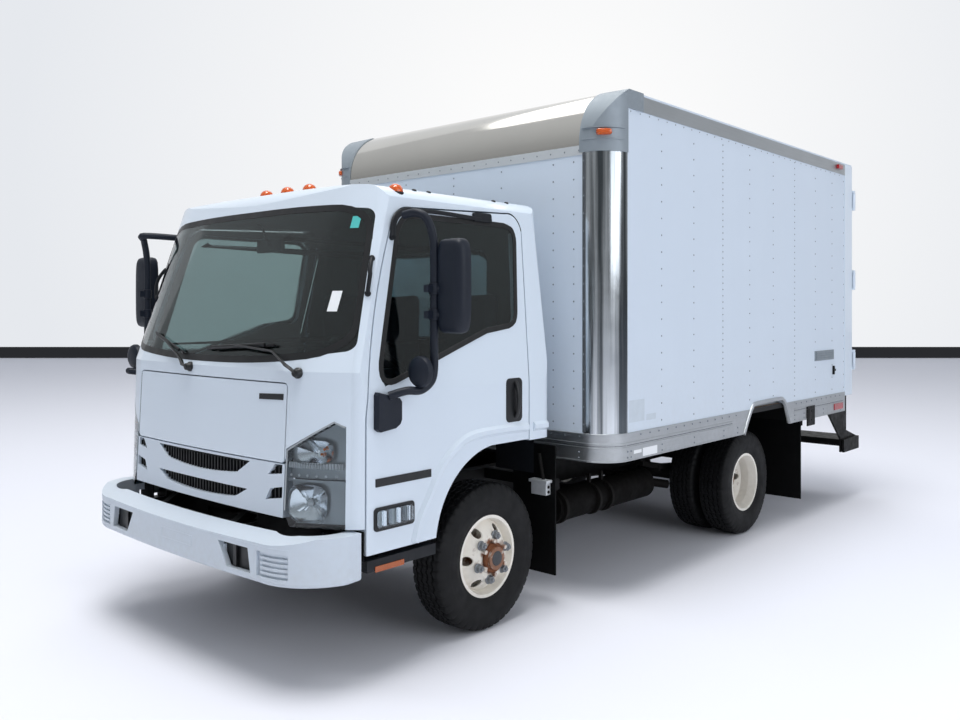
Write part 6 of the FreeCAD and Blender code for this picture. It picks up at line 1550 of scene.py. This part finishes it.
def pad_block(name, low, high):
    """A rounded block as an even cloth mesh."""
    shrink = Vector((PAD_SHRINK, PAD_SHRINK, PAD_SHRINK)) * MM
    work = bmesh.new()
    add_block(work, low + shrink, high - shrink)
    bmesh.ops.recalc_face_normals(work, faces=work.faces)
    bmesh.ops.bevel(work, geom=list(work.edges), offset=PAD_ROUND * MM, segments=4, profile=0.5,
                    affect="EDGES")
    mesh = bpy.data.meshes.new(name)
    work.to_mesh(mesh)
    work.free()
    made = put_in_scene(name, mesh)
    even = made.modifiers.new("even_cloth", "REMESH")
    even.mode = "VOXEL"
    even.voxel_size = 0.009
    settle(made)
    return made


def settle(made):
    """Applies a piece's modifiers to its mesh."""
    bpy.context.view_layer.update()
    look = bpy.context.evaluated_depsgraph_get()
    shaped = bpy.data.meshes.new_from_object(made.evaluated_get(look))
    made.modifiers.clear()
    made.data = shaped


def inflate(made):
    """Blows a pad up as cloth and caps how far each point travels."""
    rest = [point.co.copy() for point in made.data.vertices]
    cloth = made.modifiers.new("pad_cloth", "CLOTH")
    cloth.settings.quality = 4
    cloth.settings.use_pressure = True
    cloth.settings.uniform_pressure_force = 4
    cloth.settings.effector_weights.gravity = 0
    cloth.collision_settings.use_collision = False
    scene = bpy.context.scene
    for step in range(1, AIR_STEPS + 1):
        scene.frame_set(step)
    settle(made)
    scene.frame_set(1)
    for point, start in zip(made.data.vertices, rest):
        travel = point.co - start
        if travel.length > PAD_CAP * MM:
            point.co = start + travel.normalized() * PAD_CAP * MM


def finish_pad(made, low, high, face, pitch):
    """Sews channels across a pad's working face and keeps it inside its space."""
    middle = (low + high) / 2
    for point in made.data.vertices:
        reach = (point.co[face[0]] - middle[face[0]]) / (high[face[0]] - low[face[0]]) * 2
        if reach * face[1] > 0.45:
            along = (point.co.x - middle.x) / (pitch * MM)
            near = abs(along - round(along)) * pitch
            dip = math.exp(-(near / SEAM_DIP) ** 2) * SEAM_DIP * MM
            point.co[face[0]] -= face[1] * dip
        for k in range(3):
            point.co[k] = min(max(point.co[k], low[k]), high[k])
    made.data.shade_smooth()
    made.data.materials.clear()
    made.data.materials.append(seat_cloth)


PADS = (("driver", 550, 520, 130), ("bench", -275, 930, 155))
pad_pieces = []
for name, middle, width, pitch in PADS:
    for part, y0, y1, z0, z1, face in (("cushion", -326, 170, 1130, 1256, (2, 1)),
                                       ("back", 176, 288, 1180, 1786, (1, -1))):
        low = at(middle - width / 2 + 2, y0, z0)
        high = at(middle + width / 2 - 2, y1, z1)
        pad = pad_block("%s_%s_pad" % (name, part), low, high)
        inflate(pad)
        finish_pad(pad, low, high, face, pitch)
        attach(pad, "cab")
        pad_pieces.append(pad)
    print(name, "back pad has", len(pad.data.vertices), "points")
seat_frame = bmesh.new()
for name, middle, width, pitch in PADS:
    add_block_at(seat_frame, at(middle, 0, 1073), width / 2 - 25, -290, 200, 61)
    add_block_at(seat_frame, at(middle, 0, 1170), width / 2 - 40, 178, 230, 70)
frame_piece = piece_of("seat_bases", seat_frame, black_moulding, "cab", bevel=6)
for one in pad_pieces + [frame_piece]:
    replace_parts(one, "seats")
print("seats made")

# %% [markdown]
# Inside the cab the driver looks at a moulded dash with a hooded instrument panel, air vents, a
# radio slot, and at a steering wheel with a padded boss. A small mirror hangs from the header,
# and the rear window has a slim frame.

# %% Cab interior
dash_grain = finish_of("grained_dash_plastic", "#1B1D20", 0.62, drift=0.08, relief=0.2,
                       relief_mm=1.6)
screen_dark = finish_of("instrument_glass", "#050607", 0.15, drift=0.05, coat=0.5)


def dash_top(x, y):
    """A point on top of the dashboard."""
    return cast("dashboard", at(x, y, 2500), (0, 0, -1))[0]


work = bmesh.new()
for n in range(9):
    share = n / 8
    x = 330 + share * 390
    rise = 70 * math.sin(math.pi * (0.12 + 0.76 * share))
    low = dash_top(x, -690)
    add_tube(work, [low + Vector((0, -0.06, -0.01)), low + Vector((0, -0.03, rise * 0.8 * MM)),
                    low + Vector((0, 0.05, rise * MM))], [26, 26, 22], 8)
for x in (-820, -120, 90, 840):
    vent, _ = cast("dashboard", at(x, 500, 1300), (0, -1, 0))
    add_block_at(work, vent, 60, -6, 6, 30)
    for k in range(4):
        add_block_at(work, vent + Vector((0, 0, k * 14 - 21)) * MM, 54, 4, 10, 3)
piece_of("dash_hood_and_vents", work, dash_grain, "cab", bevel=1)
work = bmesh.new()
slot, _ = cast("dashboard", at(-15, 500, 1230), (0, -1, 0))
add_block_at(work, slot, 90, -4, 5, 50)
add_block_at(work, dash_top(520, -640) + Vector((0, 0, 25)) * MM, 160, -12, 6, 30)
piece_of("dash_screens", work, screen_dark, "cab", bevel=2)
print("dash dressed")

# %% Steering wheel boss, cab mirror and rear window frame
rim_points = points_of("steering_wheel")
highest = max(rim_points, key=lambda p: p.z)
lowest = min(rim_points, key=lambda p: p.z)
slope = (highest - lowest).normalized()
wheel_axis = slope.cross(Vector((1, 0, 0))).normalized()
if wheel_axis.y < 0:
    wheel_axis = -wheel_axis
wheel_centre = (highest + lowest) / 2
work = bmesh.new()
add_lathe(work, wheel_centre - wheel_axis * 0.03, wheel_axis,
          [(-8, 40), (0, 66), (14, 70), (24, 62), (30, 40), (32, 12)], 28, squash=0.8)
piece_of("steering_boss", work, dash_grain, "steering_wheel")
work = bmesh.new()
stem, _ = on_skin(["cab_glass"], [at(60, -900, 2105)], FROM_FRONT)
root = stem[0] + Vector((0, 0.012, 0))
head = root + Vector((0, 0.07, -0.11))
add_tube(work, [root, root + Vector((0, 0.03, -0.02)), head], [7, 6, 6], 8)
add_block_at(work, head, 110, 0, 22, 35)
piece_of("cab_mirror", work, trim_black, "cab", bevel=6)
path, normals = glass_loop(at(0, 1200, 1780), Vector((1, 0, 0)), Vector((0, -1, 0)), "cab_glass",
                           "cab_shell", 6, count=100)
work = bmesh.new()
add_band(work, path, normals, 30, 4, sink=1, closed=True, slant=0.2)
piece_of("rear_window_channel", work, seal_rubber, "cab")
print("cab fittings placed")

# %% [markdown]
# Under the body hang the parts that one sees between the wheels: spring clips and U-bolts round
# the axles, bands round the silencer, and a zinc-plated clamp with its stay that holds the flap
# behind the front wheel.

# %% Underbody parts
bright_zinc = finish_of("bright_zinc_clamp", "#C9CDD0", 0.4, metal=0.3, drift=0.15, drift_mm=30)
work = bmesh.new()
leaf_points = points_of("leaf_springs")


def leaf_place(hand, y, reach):
    """The middle, half width, bottom and top of the leaves near a place, if there are any."""
    near = [p for p in leaf_points if abs(p.y - y) < reach and p.x * hand > 0]
    if not near:
        return None
    x = sum(p.x for p in near) / len(near)
    heights = [p.z for p in near]
    return x, max(abs(p.x - x) for p in near), min(heights), max(heights)


for axle in (0, WHEELBASE):
    for hand in (1, -1):
        middle = at(0, axle, 0).y
        x, half, low, top = leaf_place(hand, middle, 0.12)
        half += 0.012
        for y in (middle - 0.055, middle + 0.055):
            add_tube(work, smooth_path([(x + share * half, y, z) for share, z in (
                (-1, low - 0.05), (-1, top + 0.004), (-0.6, top + 0.016), (0.6, top + 0.016),
                (1, top + 0.004), (1, low - 0.05))], steps=3), 7, 8)
        add_block(work, (x - half - 0.012, middle - 0.08, low - 0.05),
                  (x + half + 0.012, middle + 0.08, low - 0.036))
        for along in (-0.4, -0.26, 0.26, 0.4):
            y = middle + along
            leaves = leaf_place(hand, y, 0.08)
            if leaves:
                x, half, low, top = leaves
                add_block(work, (x - half - 0.004, y - 0.014, low - 0.004),
                          (x + half + 0.004, y + 0.014, top + 0.004))
piece_of("spring_clamps", work, black_iron, "chassis", bevel=1)
work = bmesh.new()
for hand in (1, -1):
    add_side_block(work, hand, (830, 935), (474, 517), (622, 694))
    add_side_block(work, hand, (818, 946), (466, 518), (690, 706))
    for z in (640, 668):
        add_lathe(work, at(hand * 935, 496, z), (hand, 0, 0), [(-1, 9), (5, 9), (7, 5)], 10, tone=1)
    add_tube(work, [at(hand * 868, 500, 850), at(hand * 898, 500, 700)], 10, 10, tone=1)
piece_of("flap_clamps", work, [bright_zinc, black_iron], "chassis", bevel=1.5)
print("spring clamps and flap clamps placed")

# %% Silencer bands
SILENCER_X = 620
SILENCER_MIDDLE = 1160
work = bmesh.new()
for behind in (-1, 1):
    for reach in (180, 320):
        y = SILENCER_MIDDLE + behind * reach
        low = cast("exhaust", at(SILENCER_X, y, -1000), (0, 0, 1))
        high = cast("exhaust", at(SILENCER_X, y, 1000), (0, 0, -1))
        if low and high and high[0].z - low[0].z > 0.15:
            middle = (low[0] + high[0]) / 2
            radius = (high[0].z - low[0].z) / 2 / MM
            add_lathe(work, middle, (0, 1, 0), [(-13, radius - 3), (-13, radius + 3),
                                                (13, radius + 3), (13, radius - 3)], 32)
            add_block(work, high[0] + Vector((-0.012, -0.01, -0.005)),
                      high[0] + Vector((0.012, 0.01, 0.06)))
print("silencer bands", len(work.faces))
piece_of("silencer_bands", work, black_iron, "chassis")

# %% [markdown]
# The truck stands in a plain pale studio: a light floor, and a light wall far behind it with a
# narrow dark skirting. The wall and the skirting show their own colour to the camera and in
# reflections. The wall's colour is a painted pool of light: brightest round a point high on it,
# near its middle, and greyer towards its ends. The floor is only lit, so it keeps the truck's
# shadow.

# %% Studio


def studio_finish(name, colour, own_light, middle=None, edge=None):
    """A stage colour that may light itself, to the camera and in reflections only, and may carry a
    painted pool of light that fades from a middle point to an edge colour.
    """
    made, tree = blank_finish(name)
    shade = linear(colour)
    # Painted light: a pool that is brightest round the middle point and turns to the edge colour
    # further out.
    if middle:
        place = node(tree, "ShaderNodeTexCoord").outputs["Object"]
        reach = node(tree, "ShaderNodeVectorMath", {"operation": "DISTANCE"}, _0=place, _1=middle)
        fade = node(tree, "ShaderNodeMapRange", Value=reach.outputs["Value"], From_Min=3.0,
                    From_Max=19.0)
        shade = node(tree, "ShaderNodeMix", {"data_type": "RGBA"}, _0=fade.outputs["Result"],
                     _6=shade, _7=linear(edge)).outputs[2]
    plain = node(tree, "ShaderNodeBsdfDiffuse", Color=shade)
    lit = node(tree, "ShaderNodeEmission", Color=shade, Strength=1.0)
    rays = node(tree, "ShaderNodeLightPath")
    seen = rays.outputs["Is Camera Ray"]
    for kind in ("Is Glossy Ray", "Is Transmission Ray"):
        seen = node(tree, "ShaderNodeMath", {"operation": "MAXIMUM"}, _0=seen,
                    _1=rays.outputs[kind]).outputs[0]
    share = node(tree, "ShaderNodeMath", {"operation": "MULTIPLY"}, _0=seen, _1=own_light)
    mixed = node(tree, "ShaderNodeMixShader", _0=share.outputs[0], _1=plain.outputs[0],
                 _2=lit.outputs[0])
    node(tree, "ShaderNodeOutputMaterial", Surface=mixed.outputs[0])
    return made


def stage_sheet(name, corners, finish):
    """A flat stage piece from four corners."""
    mesh = bpy.data.meshes.new(name)
    mesh.from_pydata([Vector(c) for c in corners], [], [(0, 1, 2, 3)])
    sheet = put_in_scene(name, mesh)
    mesh.materials.append(finish)


def wall_corners(foot, height):
    """The corners of a wall that stands on a foot point, square to the camera's sight line."""
    ends = (foot - ACROSS * HALF_WALL, foot + ACROSS * HALF_WALL)
    up = Vector((0, 0, height))
    return [ends[0], ends[1], ends[1] + up, ends[0] + up]


YAW = 0.732
AHEAD = Vector((-math.sin(YAW), math.cos(YAW), 0))
ACROSS = Vector((math.cos(YAW), math.sin(YAW), 0))
EYE = Vector((3.9659, -3.4499 + FRONT_AXLE_Y, 1.6622))
WALL_AWAY = 30.6
HALF_WALL = 60
HALF_FLOOR = 80
SKIRTING_HEIGHT = 0.383
wall_foot = EYE + AHEAD * WALL_AWAY
wall_foot.z = 0
stage_sheet("studio_floor", [(x * HALF_FLOOR, y * HALF_FLOOR, -0.001) for x, y in (
    (-1, -1), (1, -1), (1, 1), (-1, 1))], studio_finish("pale_floor", "#E6E7EE", 0.0))
stage_sheet("studio_wall", wall_corners(wall_foot, 40),
            studio_finish("pale_wall_painted_light_pool", "#FCFCFC", 1.0, wall_foot + ACROSS * 3 + Vector((0, 0, 7)),
                          "#E6E9EE"))
stage_sheet("studio_skirting", wall_corners(wall_foot - AHEAD * 0.1, SKIRTING_HEIGHT),
            studio_finish("dark_skirting", "#2A2B2E", 1.0))
print("studio wall foot at", [round(c, 2) for c in wall_foot])

# %% [markdown]
# Soft light comes from one large panel overhead and one at the truck's left. A third panel, high
# over the far side, gives the polished nose sheet its bright zone.

# %% Light
world = bpy.data.worlds.new("studio_world")
bpy.context.scene.world = world
world.use_nodes = True
air = world.node_tree
air.nodes.clear()
way = node(air, "ShaderNodeTexCoord").outputs["Generated"]
height = node(air, "ShaderNodeSeparateXYZ", Vector=way).outputs["Z"]
glow = node(air, "ShaderNodeMapRange", Value=height, From_Min=0.02, From_Max=0.75, To_Min=0.32,
            To_Max=0.7)
sky = node(air, "ShaderNodeBackground", Color=linear("#F0F4F9"), Strength=glow.outputs["Result"])
node(air, "ShaderNodeOutputWorld", Surface=sky.outputs[0])


def panel_light(name, place, target, size, power, colour="#FFFFFF"):
    """A large soft panel that faces a target."""
    data = bpy.data.lights.new(name, "AREA")
    data.shape = "RECTANGLE"
    data.size, data.size_y = size
    data.energy = power
    data.color = linear(colour)[:3]
    lamp = put_in_scene(name, data)
    lamp.location = place
    lamp.rotation_euler = (Vector(target) - Vector(place)).to_track_quat("-Z", "Y").to_euler()


panel_light("overhead_panel", (1.6, -3.7, 15), (0.4, -1.0, 0), (6, 7), 1480)
panel_light("far_side_panel", (-5.8, 3.4, 12.9), (-5.8, 3.4, 0), (5, 12), 330)
panel_light("side_panel", (11, -1, 4.5), (0, 0, 1.3), (8, 4.5), 280, "#F4F8FF")
print("lights ready")

# %% [markdown]
# The camera stands at the height of a standing person's eye, level, and looks at the truck's
# front left corner. The picture's middle lies below the horizon, so the lens is shifted down a
# little and upright edges stay upright.

# %% Camera
lens = bpy.data.cameras.new("camera")
lens.lens = 33.17
lens.sensor_width = 36.0
lens.shift_y = -0.0523
lens.clip_end = 300.0
camera = put_in_scene("camera", lens)
camera.location = EYE
camera.rotation_euler = (math.pi / 2, 0, YAW)
bpy.context.scene.camera = camera
bpy.context.scene.view_settings.view_transform = "Standard"
print("camera at", [round(c, 3) for c in camera.location])
